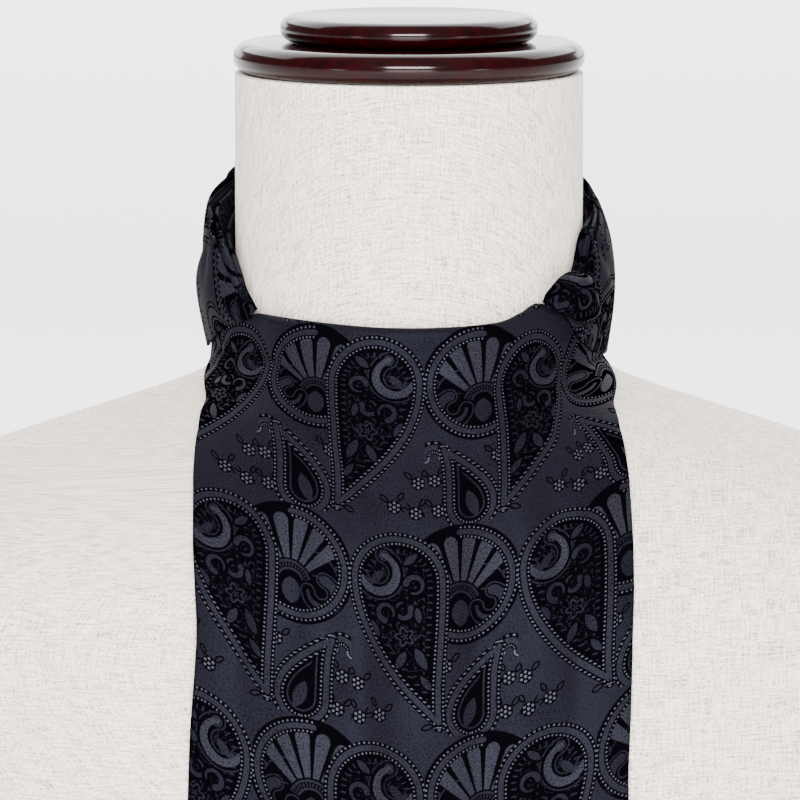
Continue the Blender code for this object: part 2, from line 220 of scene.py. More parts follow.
# %% The form's sections
FORM_COLUMNS = ("height", "half_width", "front", "back", "squareness")
FORM_ROWS = (
    (0, 152, 111, 92, 2.4),
    (40, 153, 112, 92, 2.4),
    (100, 158, 116, 93, 2.4),
    (160, 166, 120, 96, 2.4),
    (220, 176, 122, 101, 2.4),
    (270, 189, 120, 106, 2.4),
    (310, 202, 115, 108, 2.35),
    (340, 209, 108, 108, 2.3),
    (358, 209, 103, 107, 2.3),
    (374, 201, 97, 105, 2.25),
    (387, 185, 91, 102, 2.2),
    (398, 163, 85, 98, 2.15),
    (408, 134, 79, 93, 2.1),
    (417, 106, 74, 87, 2.05),
    (425, 83, 70, 80, 2.0),
    (432, 71, 67, 73, 2.0),
    (440, 66.2, 65, 68.5, 2.0),
    (450, 64.5, 64.2, 65.4, 2.0),
    (470, 64, 64, 64, 2.0),
    (539, 64, 64, 64, 2.0),
)
NECK_RADIUS = 64.0
NECK_TOP = 539.0
LAID_GAP = 1.0  # between the linen and the cloth that lies on it
NECK_ROOT = 421.0  # the height of the hollow where the neck meets the chest
ROOT_SPAN = 11.0
ROOT_BRIDGE = 1.4  # how much farther the cloth stands off there
SLANT_SPAN = 2.0


def form_reach(angle, height):
    """How far the linen lies from the neck's axis, at angles and heights."""
    half_width = eased(FORM_ROWS, FORM_COLUMNS, "half_width", height)
    front = eased(FORM_ROWS, FORM_COLUMNS, "front", height)
    back = eased(FORM_ROWS, FORM_COLUMNS, "back", height)
    power = eased(FORM_ROWS, FORM_COLUMNS, "squareness", height)
    across = np.abs(np.sin(angle)) / half_width
    along = np.abs(np.cos(angle)) / np.where(np.cos(angle) > 0, front, back)
    return (across**power + along**power) ** (-1 / power)


def laid_reach(angle, height):
    """The reach of the inner face of cloth that lies on the form and spans its hollow."""
    bridge = ROOT_BRIDGE * np.exp(-(((height - NECK_ROOT) / ROOT_SPAN) ** 2))
    return form_reach(angle, height) + LAID_GAP + bridge


def slant(angle, height):
    """How much longer a stand-off from the form is level than square to its surface."""
    rise = form_reach(angle, height + SLANT_SPAN) - form_reach(angle, height - SLANT_SPAN)
    return np.hypot(1.0, rise / (2 * SLANT_SPAN))


print("the neck is", round(2 * float(form_reach(np.array(0.0), np.array(500.0)))), "mm across")

# %% [markdown]
# ## The linen body
# The linen body is one long skin over changing sections. It starts as a circle at the base. Each
# new ring is extruded from the last one and moved out to the form's table, as if the linen were
# pulled up over the padding, and the two open ends are filled. The rings lie closer together over
# the shoulder and at the root of the neck, where the form bends most.

# %% Rings of the linen body
BODY_SIDES = 128
BODY_RINGS = 200
CROWDED_AT = 0.72  # where the rings crowd, as a share of their count
CROWDED_SPAN = 0.1
CROWDING = 3.0


def ring_heights(count):
    """Heights of the rings, closer together over the shoulder and the root of the neck."""
    places = np.linspace(0.0, 1.0, count)
    steps = 1.0 + CROWDING * np.exp(-(((places - CROWDED_AT) / CROWDED_SPAN) ** 2))
    climbed = np.cumsum(steps)
    return NECK_TOP * (climbed - climbed[0]) / (climbed[-1] - climbed[0])


def ring_points(angles, height):
    """One ring of the form's table, in metres."""
    level = np.full(len(angles), height)
    return on_axis(angles, form_reach(angles, level), level)


def bearing(vertex):
    return math.atan2(vertex.co.y, vertex.co.x)


def pull_up(sketch):
    """Extrudes a circle ring by ring into the skin, and gives the vertices and their places."""
    circle = bmesh.ops.create_circle(sketch, segments=BODY_SIDES, radius=1.0, cap_ends=False)
    rings = [sorted(circle["verts"], key=bearing)]
    angles = np.array([bearing(vertex) for vertex in rings[0]]) + math.pi / 2
    grid = np.array([ring_points(angles, height) for height in ring_heights(BODY_RINGS)])
    edges = list(sketch.edges)
    for place, vertex in zip(grid[0], rings[0]):
        vertex.co = place
    for row in grid[1:]:
        lifted = bmesh.ops.extrude_edge_only(sketch, edges=edges)["geom"]
        edges = [g for g in lifted if isinstance(g, bmesh.types.BMEdge) and g.is_boundary]
        fresh = sorted((g for g in lifted if isinstance(g, bmesh.types.BMVert)), key=bearing)
        for place, vertex in zip(row, fresh):
            vertex.co = place
        rings.append(fresh)
    return rings, grid, int(np.argmin(np.abs(angles)))


print("rings:", BODY_RINGS, "of", BODY_SIDES, "corners each")

# %% [markdown]
# ### The linen's own coordinates
# A second layer of coordinates, in metres along the skin, lets the weave follow it: round each
# ring from the middle of the front, and up from the base. The last square of a ring closes at
# the ring's whole girth and not at zero, or the weave would run backwards across it.

# %% Build the linen body
CLOSING = 0.5  # a corner this share of the girth behind its square's widest one closes the ring
BASE_EDGE = math.radians(50)


def skin_lengths(grid, front):
    """Lengths along the skin to each corner, round it and up it, and the girth of each ring."""
    sides = np.linalg.norm(np.roll(grid, -1, axis=1) - grid, axis=2)
    around = np.cumsum(np.roll(sides, -front, axis=1), axis=1)
    girth = around[:, -1]
    start = np.zeros((len(grid), 1))
    around = np.roll(np.concatenate([start, around[:, :-1]], axis=1), front, axis=1)
    rise = np.cumsum(np.linalg.norm(np.diff(grid, axis=0, prepend=grid[:1]), axis=2), axis=0)
    return around, rise, girth


def lay_thread(sketch, skin, rings, grid, front):
    """Writes the skin's coordinates to the corners of its squares."""
    around, rise, girth = skin_lengths(grid, front)
    measured = {
        vertex: (around[j, i], rise[j, i], girth[j])
        for j, ring in enumerate(rings) for i, vertex in enumerate(ring)
    }
    for face in sketch.faces:
        widest = max(measured[loop.vert][0] for loop in face.loops)
        for loop in face.loops:
            along, up, whole = measured[loop.vert]
            loop[skin].uv = (along + whole * (widest - along > CLOSING * whole), up)


def show(sketch, name, finish):
    """Turns a bmesh into a shown piece that belongs to the model's one body."""
    mesh = bpy.data.meshes.new(name)
    sketch.to_mesh(mesh)
    sketch.free()
    mesh.shade_smooth()
    piece = bpy.data.objects.new(name, mesh)
    bpy.context.scene.collection.objects.link(piece)
    mesh.materials.append(finish)
    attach(piece, "root")
    return piece


def build_body(finish):
    sketch = bmesh.new()
    skin = sketch.loops.layers.uv.new("thread")
    rings, grid, front = pull_up(sketch)
    lay_thread(sketch, skin, rings, grid, front)
    bmesh.ops.holes_fill(sketch, edges=sketch.edges, sides=BODY_SIDES)
    bmesh.ops.recalc_face_normals(sketch, faces=sketch.faces)
    for face in sketch.faces:
        if len(face.verts) > 4:
            for loop in face.loops:
                loop[skin].uv = loop.vert.co.xy
    body = show(sketch, "linen_body", finish)
    body.data.set_sharp_from_angle(angle=BASE_EDGE)
    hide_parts("form_body")
    print("linen body:", len(body.data.polygons), "faces")


# %% [markdown]
# ## The wood cap
# The cap is two turned discs, the lower one a little wider than the neck. Each is a half profile
# that is spun once round the neck's axis, as on a lathe. The edge is a full half round, and the
# top is flat, so that it catches the light as one thin ellipse.

# %% Turn the cap
SPIN_STEPS = 192
EDGE_POINTS = 14
MERGE = 1e-6
CAP_COLUMNS = ("name", "node", "radius", "base", "thick")
CAP_ROWS = (
    ("cap_disc_lower", "cap_lower", 64.6, 539.3, 11.0),
    ("cap_disc_upper", "cap_upper", 47.4, 550.6, 9.4),
)


def turn_disc(row, finish):
    size = dict(zip(CAP_COLUMNS, row))
    half = size["thick"] / 2
    middle = size["base"] + half
    flat = size["radius"] - half
    outline = [(0.0, size["base"] + size["thick"])]
    for i in range(EDGE_POINTS + 1):
        turn = math.pi * (0.5 - i / EDGE_POINTS)
        outline.append((flat + half * math.cos(turn), middle + half * math.sin(turn)))
    outline.append((0.0, size["base"]))
    sketch = bmesh.new()
    profile = [sketch.verts.new((MM * out, 0.0, MM * height)) for out, height in outline]
    edges = [sketch.edges.new(pair) for pair in zip(profile, profile[1:])]
    bmesh.ops.spin(sketch, geom=profile + edges, cent=(0, 0, 0), axis=(0, 0, 1),
                   angle=2 * math.pi, steps=SPIN_STEPS, use_merge=True)
    bmesh.ops.remove_doubles(sketch, verts=sketch.verts, dist=MERGE)
    bmesh.ops.recalc_face_normals(sketch, faces=sketch.faces)
    disc = show(sketch, size["name"], finish)
    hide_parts(size["node"])
    print(size["name"], "is", round(2 * size["radius"], 1), "mm across")


# %% [markdown]
# ## The cloth's sections
# A day cravat has a pleated band round the neck and two wide blades. These sizes hold for the
# whole cravat, in millimetres: the walls, the throat's height, the blades and their pointed ends.

# %% The cloth's sizes
WALL = 1.2
BAND_WALL = 1.0
THROAT = 452.5
BLADE_LENGTH = 345.0
BLADE_HALF = 78.0
POINT_HEIGHT = 82.0
POINT_CURVE = 1.02
UNDER_TOP = 429.0
UNDER_SHORTER = 16.0
UNDER_SHARE = 0.93  # the under blade's width, as a share of the front one's
LAYER_GAP = 1.0
OVER_UNDER = (430.0, 440.0)  # over these heights the front blade leaves the under one
FALL_LOFT = 3.6
SETTLE_BY = 0.13  # the share of the fall in which the front blade settles to its width
FOLD_SHARE = 0.1  # the share of the front blade's rows in its top fold
LEG_SHARE = 0.4  # of those rows, the share in the fold's hidden inner leg
ROW_SPREAD = 1.35
UNDER_ROW_SPREAD = 1.5
print("a blade is", 2 * BLADE_HALF, "mm wide and falls", BLADE_LENGTH, "mm")

# %% [markdown]
# ### The band and the puff
# The band is drawn by its section at a few angles: the inner edge, three pleat crests with the
# valleys between them, the outer pleat, the belly and the hem. One table says how far each of
# them stands off the neck, and the other how high it is. The small puff at the right of the
# throat, over the front blade's corner and the band's end, is drawn the same way.

# %% The band's sections
BAND_COLUMNS = (
    "angle", "inner", "crest_c", "valley_cb", "crest_b", "valley_ba", "crest_a", "outer", "belly",
    "hem",
)
BAND_GAPS = (
    (-55.5, 3, 3.2, 3.5, 3.9, 4.3, 4.7, 5.1, 5.4, 5.5),
    (-59, 1.8, 2.8, 3.4, 4.1, 4.9, 5.7, 6.5, 7, 6.5),
    (-64, 1.4, 3, 4, 5.2, 6.2, 7.4, 8.6, 9, 7.4),
    (-69, 1.2, 2.8, 4, 5.6, 6.8, 8.2, 9.8, 11, 8.8),
    (-78, 1.1, 2.6, 4, 6.2, 7.8, 9.2, 11.4, 12.9, 10),
    (-90, 1.1, 2.6, 4.2, 6.8, 8.5, 9.8, 12, 14.2, 10.2),
    (-106, 1.1, 2.8, 4.4, 6, 6.8, 7.2, 10.6, 13.2, 10.8),
    (-125, 1.1, 3, 4.5, 5.8, 7, 7.8, 9.8, 11.2, 10.2),
    (-155, 1.1, 3, 4.4, 5.7, 7, 7.8, 9, 9.6, 8.6),
    (-180, 1.1, 3, 4.4, 5.7, 7, 7.8, 9, 9.4, 8.2),
    (-205, 1.1, 3, 4.4, 5.7, 7, 7.8, 9, 9.4, 8.4),
    (-236, 1.1, 2.8, 4, 5.1, 5.8, 6.4, 8, 9.6, 9.4),
    (-254, 1.1, 2.6, 3.6, 4.4, 4.9, 5.2, 7.6, 10.6, 9.8),
    (-270, 1.1, 2.4, 3.5, 4.8, 5.7, 6.6, 10.4, 11.8, 9),
    (-280, 1.1, 2.3, 3.3, 4.6, 5.7, 6.8, 10.4, 11.8, 9),
    (-288, 1.1, 2.2, 3.2, 4.4, 5.5, 6.8, 9.4, 11, 8.9),
    (-294, 1.3, 2.2, 3.1, 4.1, 5, 6, 8.2, 10, 8.6),
    (-300, 1.6, 2.2, 2.8, 3.5, 4.2, 5, 6.7, 8.2, 7.8),
    (-308, 3.2, 3.4, 3.7, 4.1, 4.5, 4.9, 5.3, 5.6, 5.7),
)
BAND_HEIGHTS = (
    (-55.5, 456, 456.3, 456, 456, 455.6, 455.4, 454.8, 454, 453),
    (-59, 457.2, 458.9, 458.2, 458.5, 457.3, 457.4, 455.8, 453.6, 451.4),
    (-64, 460.2, 464.2, 463.4, 464.4, 462, 462.4, 458.8, 454, 450),
    (-69, 466.6, 469.6, 468.4, 471.4, 467.6, 469, 462.6, 454.6, 447.4),
    (-78, 472.6, 476, 474, 480.4, 474.4, 479.4, 470.4, 456.8, 441.8),
    (-90, 476, 480, 477, 488, 479, 490, 478, 461, 437.9),
    (-106, 478, 486, 483, 492, 485, 498, 484, 465, 440),
    (-125, 480, 494, 491, 498, 489, 504, 488, 469, 447),
    (-155, 483, 500, 497, 503, 494, 509, 493, 475, 452),
    (-180, 484, 502, 499, 505, 496, 511, 494, 476, 453),
    (-205, 483, 501, 498, 504, 495, 510, 494, 476, 452),
    (-236, 482, 495, 492, 498, 489, 503, 488, 470, 446),
    (-254, 484, 489.6, 487, 492, 486, 496, 484, 466, 441),
    (-270, 484.5, 487.6, 484.6, 488, 481, 487.4, 476.4, 461, 437.8),
    (-280, 483, 485, 482, 484, 477, 481.5, 471, 456, 436.8),
    (-288, 480, 481.6, 479, 479.6, 473, 475, 465, 452, 437.8),
    (-294, 469.8, 472, 470.4, 471, 466.4, 467.4, 459.6, 449.6, 440.2),
    (-300, 462.4, 463.6, 462.8, 462.8, 460.4, 460.4, 455.6, 449.6, 444.6),
    (-308, 458.8, 459.2, 458.8, 458.8, 458.4, 458.2, 457.4, 456.6, 455.6),
)
print("the band is drawn by", len(BAND_GAPS), "sections")

# %% The puff's sections
WRAP_COLUMNS = ("angle", "inner", "crest", "shoulder", "belly", "hem")
WRAP_GAPS = (
    (44.5, 4.9, 5.5, 6.1, 6.7, 6.9),
    (47.2, 3.4, 5.2, 7.6, 8.8, 8.4),
    (50.6, 2.4, 5.2, 9.4, 11.4, 10.2),
    (54, 2.2, 5.6, 10.8, 12.8, 11.4),
    (58, 2.6, 6.2, 11.4, 13.4, 12.2),
    (62, 5, 8, 11.6, 13, 12.2),
    (66, 9.4, 10.4, 11.6, 12, 11.6),
)
WRAP_HEIGHTS = (
    (44.5, 460, 460.5, 460, 459, 457.8),
    (47.2, 461.8, 463.6, 462.6, 460.2, 457.2),
    (50.6, 463, 466.4, 464.4, 459.8, 455),
    (54, 464.4, 468.4, 466, 459.4, 453),
    (58, 465.2, 469.4, 466.2, 459, 452.2),
    (62, 464.8, 468, 464.8, 458.2, 452.4),
    (66, 463.6, 465.4, 462.6, 457.6, 453.6),
)
print("the puff is drawn by", len(WRAP_GAPS), "sections")

# %% [markdown]
# ### The front blade
# The front blade is drawn by its top edge round the throat, by its two side edges, and by the
# soft folds of its fall. The table of the throat gives the top edge's height, how far its inner
# leg stands off the neck, how far apart its two legs are, and how far its cloth goes down again
# behind the fold.

# %% The blade's top edge and sides
THROAT_COLUMNS = ("angle", "height", "gap", "roll", "behind")
THROAT_ROWS = (
    (-92, 440.4, 6.8, 1.6, 2.5),
    (-84, 441.8, 6.8, 1.6, 2.5),
    (-74, 446.0, 6.2, 1.6, 2.5),
    (-66, 449.8, 4.8, 1.6, 2.5),
    (-60, 452.4, 2.9, 1.6, 2.5),
    (-54, 454.2, 1.6, 1.6, 4.0),
    (-46, 454.3, 1.6, 3.4, 7.0),
    (-36, 454.0, 1.6, 4.4, 9.0),
    (0, 452.5, 1.6, 4.6, 10.0),
    (16, 452.8, 1.6, 4.6, 9.0),
    (28, 453.6, 1.6, 4.4, 8.0),
    (38, 456.8, 1.6, 3.4, 6.0),
    (43, 459.0, 1.6, 2.6, 4.0),
    (48, 458.2, 1.6, 1.8, 3.0),
    (53, 457.0, 1.8, 1.6, 3.5),
    (57, 453.4, 2.9, 1.6, 4.0),
    (61, 448.8, 4.1, 1.6, 3.5),
    (66, 443.2, 5.4, 1.6, 2.5),
    (72, 439.6, 5.7, 1.6, 2.5),
    (78, 438.6, 5.8, 1.6, 2.5),
    (85, 438.2, 5.8, 1.6, 2.5),
)

# Left and right edges, as angles from the neck's axis
FALL_COLUMNS = ("height", "left", "right")
FALL_ROWS = (
    (442, -92, 85),
    (436, -78, 74),
    (428, -62, 61),
    (415, -50, 50),
    (385, -40.5, 41.5),
    (345, -35.4, 36.8),
    (285, -33.8, 33.6),
    (235, -32.6, 33.8),
    (185, -33.4, 33),
    (107, -33, 34),
)
print("the top edge is drawn by", len(THROAT_ROWS), "points")

# %% [markdown]
# The folds of the fall are long and shallow. Each starts and ends at a place across the blade
# (from -1 to 1) and at a height, and has a depth and a width. A negative depth is a ridge.

# %% The soft folds of the fall
FOLD_COLUMNS = ("across_from", "height_from", "across_to", "height_to", "depth", "width")
FALL_FOLDS = (
    (-0.62, 438, -0.24, 382, 3.2, 8.0),
    (-0.26, 388, -0.36, 235, 3.0, 10.0),
    (0.30, 436, 0.38, 240, 3.0, 9.0),
    (0.02, 410, 0.04, 190, -1.6, 14.0),
    (0.62, 444, 0.74, 340, 2.6, 7.0),
    (-0.74, 432, -0.80, 352, 2.4, 7.0),
    (0.70, 330, 0.62, 140, 2.8, 11.0),
    (-0.72, 330, -0.60, 140, 2.8, 11.0),
    (-0.06, 300, -0.12, 160, 1.8, 12.0),
)
print("soft folds:", len(FALL_FOLDS))

# %% [markdown]
# ## From tables to cloth
# A point of cloth is named by two shares: how far along the piece it is, and how far across. The
# functions below turn the shares into an angle, a reach from the neck's axis and a height. Where
# a table would put the cloth inside the linen, it rests on the linen instead.

# %% Points of the band and the puff


def through(points, share):
    """Points on the smooth curve through rows of points, at shares of its length."""
    span = len(points) - 1
    at = np.clip(share, 0.0, 1.0) * span
    i = np.minimum(at.astype(int), span - 1)
    t = at - i
    pick = np.arange(len(share))
    before = points[np.maximum(i - 1, 0), pick]
    a, b = points[i, pick], points[i + 1, pick]
    after = points[np.minimum(i + 2, span), pick]
    return 0.5 * (
        2 * a + (b - before) * t + (2 * before - 5 * a + 4 * b - after) * t * t
        + (3 * a - before - 3 * b + after) * t**3
    )


def section(rows, names, degrees, share):
    """One measure of a wound piece, at angles and at shares across its section."""
    return through(np.array([eased(rows, names, name, degrees) for name in names[1:]]), share)


def wound_points(tables, wall, creases, stretch, along, across):
    """Points of cloth wound round the neck, along it by angle and across it from its inner edge."""
    names, gaps, heights = tables
    degrees = gaps[0][0] + (gaps[-1][0] - gaps[0][0]) * along
    gap = section(gaps, names, degrees, across) - crease_depth(creases, degrees, across, stretch)
    height = section(heights, names, degrees, across)
    angle = np.radians(degrees)
    resting = laid_reach(angle, height) + wall / 2
    return on_axis(angle, np.maximum(NECK_RADIUS + gap, resting), height)


print("curve through 0, 1 and 4 half way:", float(
    through(np.array([[0.0], [1.0], [4.0]]), np.array([0.5]))[0]
))

# %% [markdown]
# Creases are troughs, or ridges where the depth is negative. Each runs straight between two
# places of the cloth and fades at both ends. A fold of the blade's fall is made the same way.

# %% Creases and soft folds
CREASE_COLUMNS = ("along_from", "across_from", "along_to", "across_to", "depth", "width")
FADE_IN = (-0.15, 0.3)  # shares of a crease's length
CREASE_OUT = (0.65, 1.15)
FOLD_OUT = (0.7, 1.15)


def crease_depth(creases, along, across, stretch):
    """How far the listed creases set the cloth back. `stretch` turns places into mm."""
    total = np.zeros_like(along)
    for row in creases:
        crease = dict(zip(CREASE_COLUMNS, row))
        run = np.array([
            (crease["along_to"] - crease["along_from"]) * stretch[0],
            (crease["across_to"] - crease["across_from"]) * stretch[1],
        ])
        whole = np.linalg.norm(run)
        x = (along - crease["along_from"]) * stretch[0]
        y = (across - crease["across_from"]) * stretch[1]
        share = (x * run[0] + y * run[1]) / whole**2
        off = (x * run[1] - y * run[0]) / whole / crease["width"]
        ends = step(*FADE_IN, share) * (1 - step(*CREASE_OUT, share))
        total += crease["depth"] * ends * np.exp(-off * off)
    return total


def fold_depth(across, height):
    """How far the front fall's soft folds set it back."""
    total = np.zeros_like(across)
    for row in FALL_FOLDS:
        fold = dict(zip(FOLD_COLUMNS, row))
        share = (fold["height_from"] - height) / (fold["height_from"] - fold["height_to"])
        ends = step(*FADE_IN, share) * (1 - step(*FOLD_OUT, share))
        middle = fold["across_from"] + (fold["across_to"] - fold["across_from"]) * share
        off = (across - middle) * BLADE_HALF / fold["width"]
        total += fold["depth"] * ends * np.exp(-off * off)
    return total


print("a fold's deepest place:", max(row[4] for row in FALL_FOLDS), "mm")

# %% [markdown]
# ## The blades
# At the throat the front blade comes up from behind, turns over in a small soft fold and falls.
# Its corners start behind the band's hem. It settles to its full width over the first centimetres
# and lies on the chest with some loft in the middle. The under blade lies flat on the linen.

# %% Points of the two blades
LOFT_RISE = (0.08, 0.35)  # shares of the fall over which each of these comes in
FOLDS_RISE = (0.08, 0.25)
CHEST_RISE = (0.0, 0.15)
CREASES_RISE = (0.0, 0.06)
THROAT_BLEND = 4.0


def top_fold(degrees, down):
    """Reach and height behind the top edge and over its fold."""
    top, gap, apart, behind = (
        eased(THROAT_ROWS, THROAT_COLUMNS, name, degrees) for name in THROAT_COLUMNS[1:]
    )
    angle = np.radians(degrees)
    roll = apart / 2
    inner = np.maximum(NECK_RADIUS + gap, laid_reach(angle, top - roll) + WALL / 2)
    leg_height = top - roll - np.maximum(behind - roll, 0) * (1 - down / LEG_SHARE)
    leg_reach = np.maximum(inner, laid_reach(angle, leg_height) + WALL / 2)
    turn = math.pi * (1 - (down - LEG_SHARE) / (1 - LEG_SHARE))
    behind_it = down < LEG_SHARE
    reach = np.where(behind_it, leg_reach, inner + roll + roll * np.cos(turn))
    return reach, np.where(behind_it, leg_height, top - roll + roll * np.sin(turn))


def side_edges(height):
    """The angles of the left and the right edge of the fall."""
    return (eased(FALL_ROWS, FALL_COLUMNS, name, height) for name in FALL_COLUMNS[1:])


def pointed_end(side):
    """The height of a blade's lower edge, from -1 at its left to 1 at its right."""
    return THROAT - BLADE_LENGTH + POINT_HEIGHT * np.abs(side) ** POINT_CURVE


def front_points(across, down):
    """Points of the front blade, across it from left to right, down it from its hidden edge."""
    side = 2 * across - 1
    degrees = THROAT_ROWS[0][0] + (THROAT_ROWS[-1][0] - THROAT_ROWS[0][0]) * across
    folded_over = down < FOLD_SHARE
    fold_reach, fold_height = top_fold(degrees, np.minimum(down / FOLD_SHARE, 1.0))
    share = np.clip((down - FOLD_SHARE) / (1 - FOLD_SHARE), 0.0, 1.0)
    outer, start = top_fold(degrees, np.ones_like(down))
    height = start + (pointed_end(side) - start) * share**ROW_SPREAD
    left, right = side_edges(height)
    settled = degrees + (left + (right - left) * across - degrees) * step(0.0, SETTLE_BY, share)
    angle = np.radians(np.where(folded_over, degrees, settled))
    laid = laid_reach(angle, height) + WALL / 2
    lifted = (WALL + LAYER_GAP) * slant(angle, height) * (1 - step(*OVER_UNDER, height))
    loft = FALL_LOFT * (1 - side**4) * step(*LOFT_RISE, share)
    reach = round_max(laid + lifted + loft, outer, THROAT_BLEND)
    reach -= fold_depth(side, height) * step(*FOLDS_RISE, share)
    reach = outer + (reach - outer) * step(*CHEST_RISE, share)
    creased = crease_depth(FRONT_CREASES, side, height, (BLADE_HALF, 1.0))
    reach = np.maximum(reach - creased * step(*CREASES_RISE, share), laid + lifted)
    reach = np.where(folded_over, fold_reach, reach)
    return on_axis(angle, reach, np.where(folded_over, fold_height, height))


def under_points(across, down):
    """Points of the under blade, which lies on the linen behind the front one."""
    side = 2 * across - 1
    height = UNDER_TOP + (pointed_end(side) + UNDER_SHORTER - UNDER_TOP) * down**UNDER_ROW_SPREAD
    left, right = side_edges(height)
    angle = np.radians(left + (right - left) * (0.5 + 0.5 * UNDER_SHARE * side))
    return on_axis(angle, laid_reach(angle, height) + WALL / 2, height)


print("the point hangs at", float(pointed_end(np.array(0.0))), "mm")

# %% [markdown]
# ## The cloth's own coordinates
# The woven figure is drawn in metres along the cloth, so it keeps its size where the cloth turns
# or gathers. On a wound piece the cloth's length runs round the neck, so its figure lies on its
# side there: down is to the left end, right is to the neck. On a blade the figure hangs upright.

# %% Measure along the cloth
PULLED_ROUND = 0.4  # how far the figure turns up at the blade's sides, from 0 (level) to 1


def side_lengths(grid, axis):
    """Lengths of the squares' sides along an axis of the grid, with 0 before the first."""
    before = grid[:, :1] if axis == 1 else grid[:1]
    return np.linalg.norm(np.diff(grid, axis=axis, prepend=before), axis=2)


def wound_threads(grid, start):
    """Lengths along the cloth to each corner of a wound sheet."""
    along = np.cumsum(side_lengths(grid, 1).mean(axis=0))[None, :].repeat(len(grid), axis=0)
    across = np.cumsum(side_lengths(grid, 0), axis=0)
    return across[start] - across, -along


def hanging_threads(grid, start):
    """Lengths along the cloth to each corner of a blade: across from its front line, and down
    each thread from the row where it leaves the throat."""
    x, y, z = np.moveaxis(grid, 2, 0)
    across = np.cumsum(side_lengths(grid[:, :, :2], 1), axis=1)
    at_front = [np.array([np.interp(0.0, x[j], of[j]) for j in range(len(grid))])
                for of in (across, y, z)]
    across -= at_front[0][:, None]
    front_y, front_z = at_front[1:]
    down_front = np.cumsum(np.hypot(np.diff(front_y, prepend=front_y[0]),
                                    np.diff(front_z, prepend=front_z[0])))
    down_front -= down_front[start]
    climb = np.cumsum(side_lengths(grid, 0), axis=0)
    lifted = np.maximum(z - front_z[start], 0.0)
    at_height = np.interp(-z, -front_z[start:], down_front[start:])
    by_length = (at_height[start] - lifted[start] - climb[start])[None, :] + climb
    by_height = at_height + np.maximum(front_z[-1] - z, 0.0) - lifted
    blended = by_height + PULLED_ROUND * (by_length - by_height)
    folded_over = (np.arange(len(grid)) < start)[:, None]
    return across, np.where(folded_over, by_length, blended)


flat_square = np.array([[[0.0, 0, 0], [1, 0, 0]], [[0, 0, 1], [1, 0, 1]]])
print("sides of a flat square:", side_lengths(flat_square, 1)[:, 1])

# %% [markdown]
# ## Sheets of cloth
# Every cloth piece starts flat, as a grid of squares. Each square's corner is then moved to its
# place, the sheet is turned to face outwards and its coordinates are written down. The wall is
# added last, to both sides of the sheet.

# %% Lay a sheet


def place_corners(sketch, points, squares):
    """Moves a flat grid's corners to their places, and gives the grid of places and where in it
    each corner is."""
    corners = list(sketch.verts)
    flat = np.array([vertex.co.xy for vertex in corners]) + 0.5
    i = np.rint(flat[:, 0] * squares[0]).astype(int)
    j = np.rint(flat[:, 1] * squares[1]).astype(int)
    grid = np.zeros((squares[1] + 1, squares[0] + 1, 3))
    grid[j, i] = points(flat[:, 0], flat[:, 1])
    for vertex, a, b in zip(corners, i, j):
        vertex.co = grid[b, a]
    return grid, {vertex: (b, a) for vertex, a, b in zip(corners, i, j)}


def face_outwards(sketch):
    """Turns a sheet over if it faces the neck's axis."""
    for face in sketch.faces:
        face.normal_update()
    if sum(f.normal.xy.dot(f.calc_center_median().xy) for f in sketch.faces) < 0:
        bmesh.ops.reverse_faces(sketch, faces=sketch.faces)


def lay_sheet(name, node, points, squares, wall, threads, start, origin):
    """A sheet of silk with `squares` across and along. `threads` measures along the cloth from
    the row at the share `start`, and `origin` is the place of the figure there."""
    sketch = bmesh.new()
    thread = sketch.loops.layers.uv.new("thread")
    bmesh.ops.create_grid(sketch, x_segments=squares[0], y_segments=squares[1], size=0.5)
    grid, corner_of = place_corners(sketch, points, squares)
    right, down = threads(grid, round(start * squares[1]))
    face_outwards(sketch)
    for face in sketch.faces:
        for loop in face.loops:
            corner = corner_of[loop.vert]
            loop[thread].uv = (right[corner] + origin[0], down[corner] + origin[1])
    area = sum(face.calc_area() for face in sketch.faces)
    piece = show(sketch, name, silk)
    thicken = piece.modifiers.new("wall", "SOLIDIFY")
    thicken.thickness = MM * wall
    thicken.offset = 0.0
    thicken.use_even_offset = False
    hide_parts(node)
    print(f"{name}: {squares[0] * squares[1]} squares, {1e4 * area:.0f} square cm")
    return piece


# %% [markdown]
# ## Drawing with numbers
# The silk is a jacquard: the loom lifts satin threads where the figure is and leaves matt ones
# between. A picture of the figure would blur and would have to be stored, so the figure is drawn
# by the material itself, as distances: how far each point of the cloth is from a curve says
# whether a satin thread shows there. `Draft` wraps the output of a node, so that a line of Python
# such as `a * 2 + b` makes the nodes that work it out at every point.

# %% A draft of the weave


class Draft:
    """A number at every point of the cloth, worked out by nodes in the tree being drawn."""

    tree = None

    def __init__(self, socket):
        self.socket = socket

    def __add__(self, other):
        return reckon("ADD", self, other)

    def __sub__(self, other):
        return reckon("SUBTRACT", self, other)

    def __rsub__(self, other):
        return reckon("SUBTRACT", other, self)

    def __mul__(self, other):
        return reckon("MULTIPLY", self, other)

    def __truediv__(self, other):
        return reckon("DIVIDE", self, other)

    def __abs__(self):
        return reckon("ABSOLUTE", self)

    def __mod__(self, other):
        return reckon("FLOORED_MODULO", self, other)


def reckon(operation, *values, clamp=False):
    """One Math node on drafts and plain numbers."""
    node = Draft.tree.nodes.new("ShaderNodeMath")
    node.operation = operation
    node.use_clamp = clamp
    for socket, value in zip(node.inputs, values):
        if isinstance(value, Draft):
            Draft.tree.links.new(value.socket, socket)
        else:
            socket.default_value = value
    return Draft(node.outputs[0])


def lesser(a, b):
    return reckon("MINIMUM", a, b)


def greater(a, b):
    return reckon("MAXIMUM", a, b)


def length(x, y):
    return reckon("SQRT", reckon("MULTIPLY_ADD", x, x, y * y))


def bounded(value, low, high):
    return lesser(greater(value, low), high)


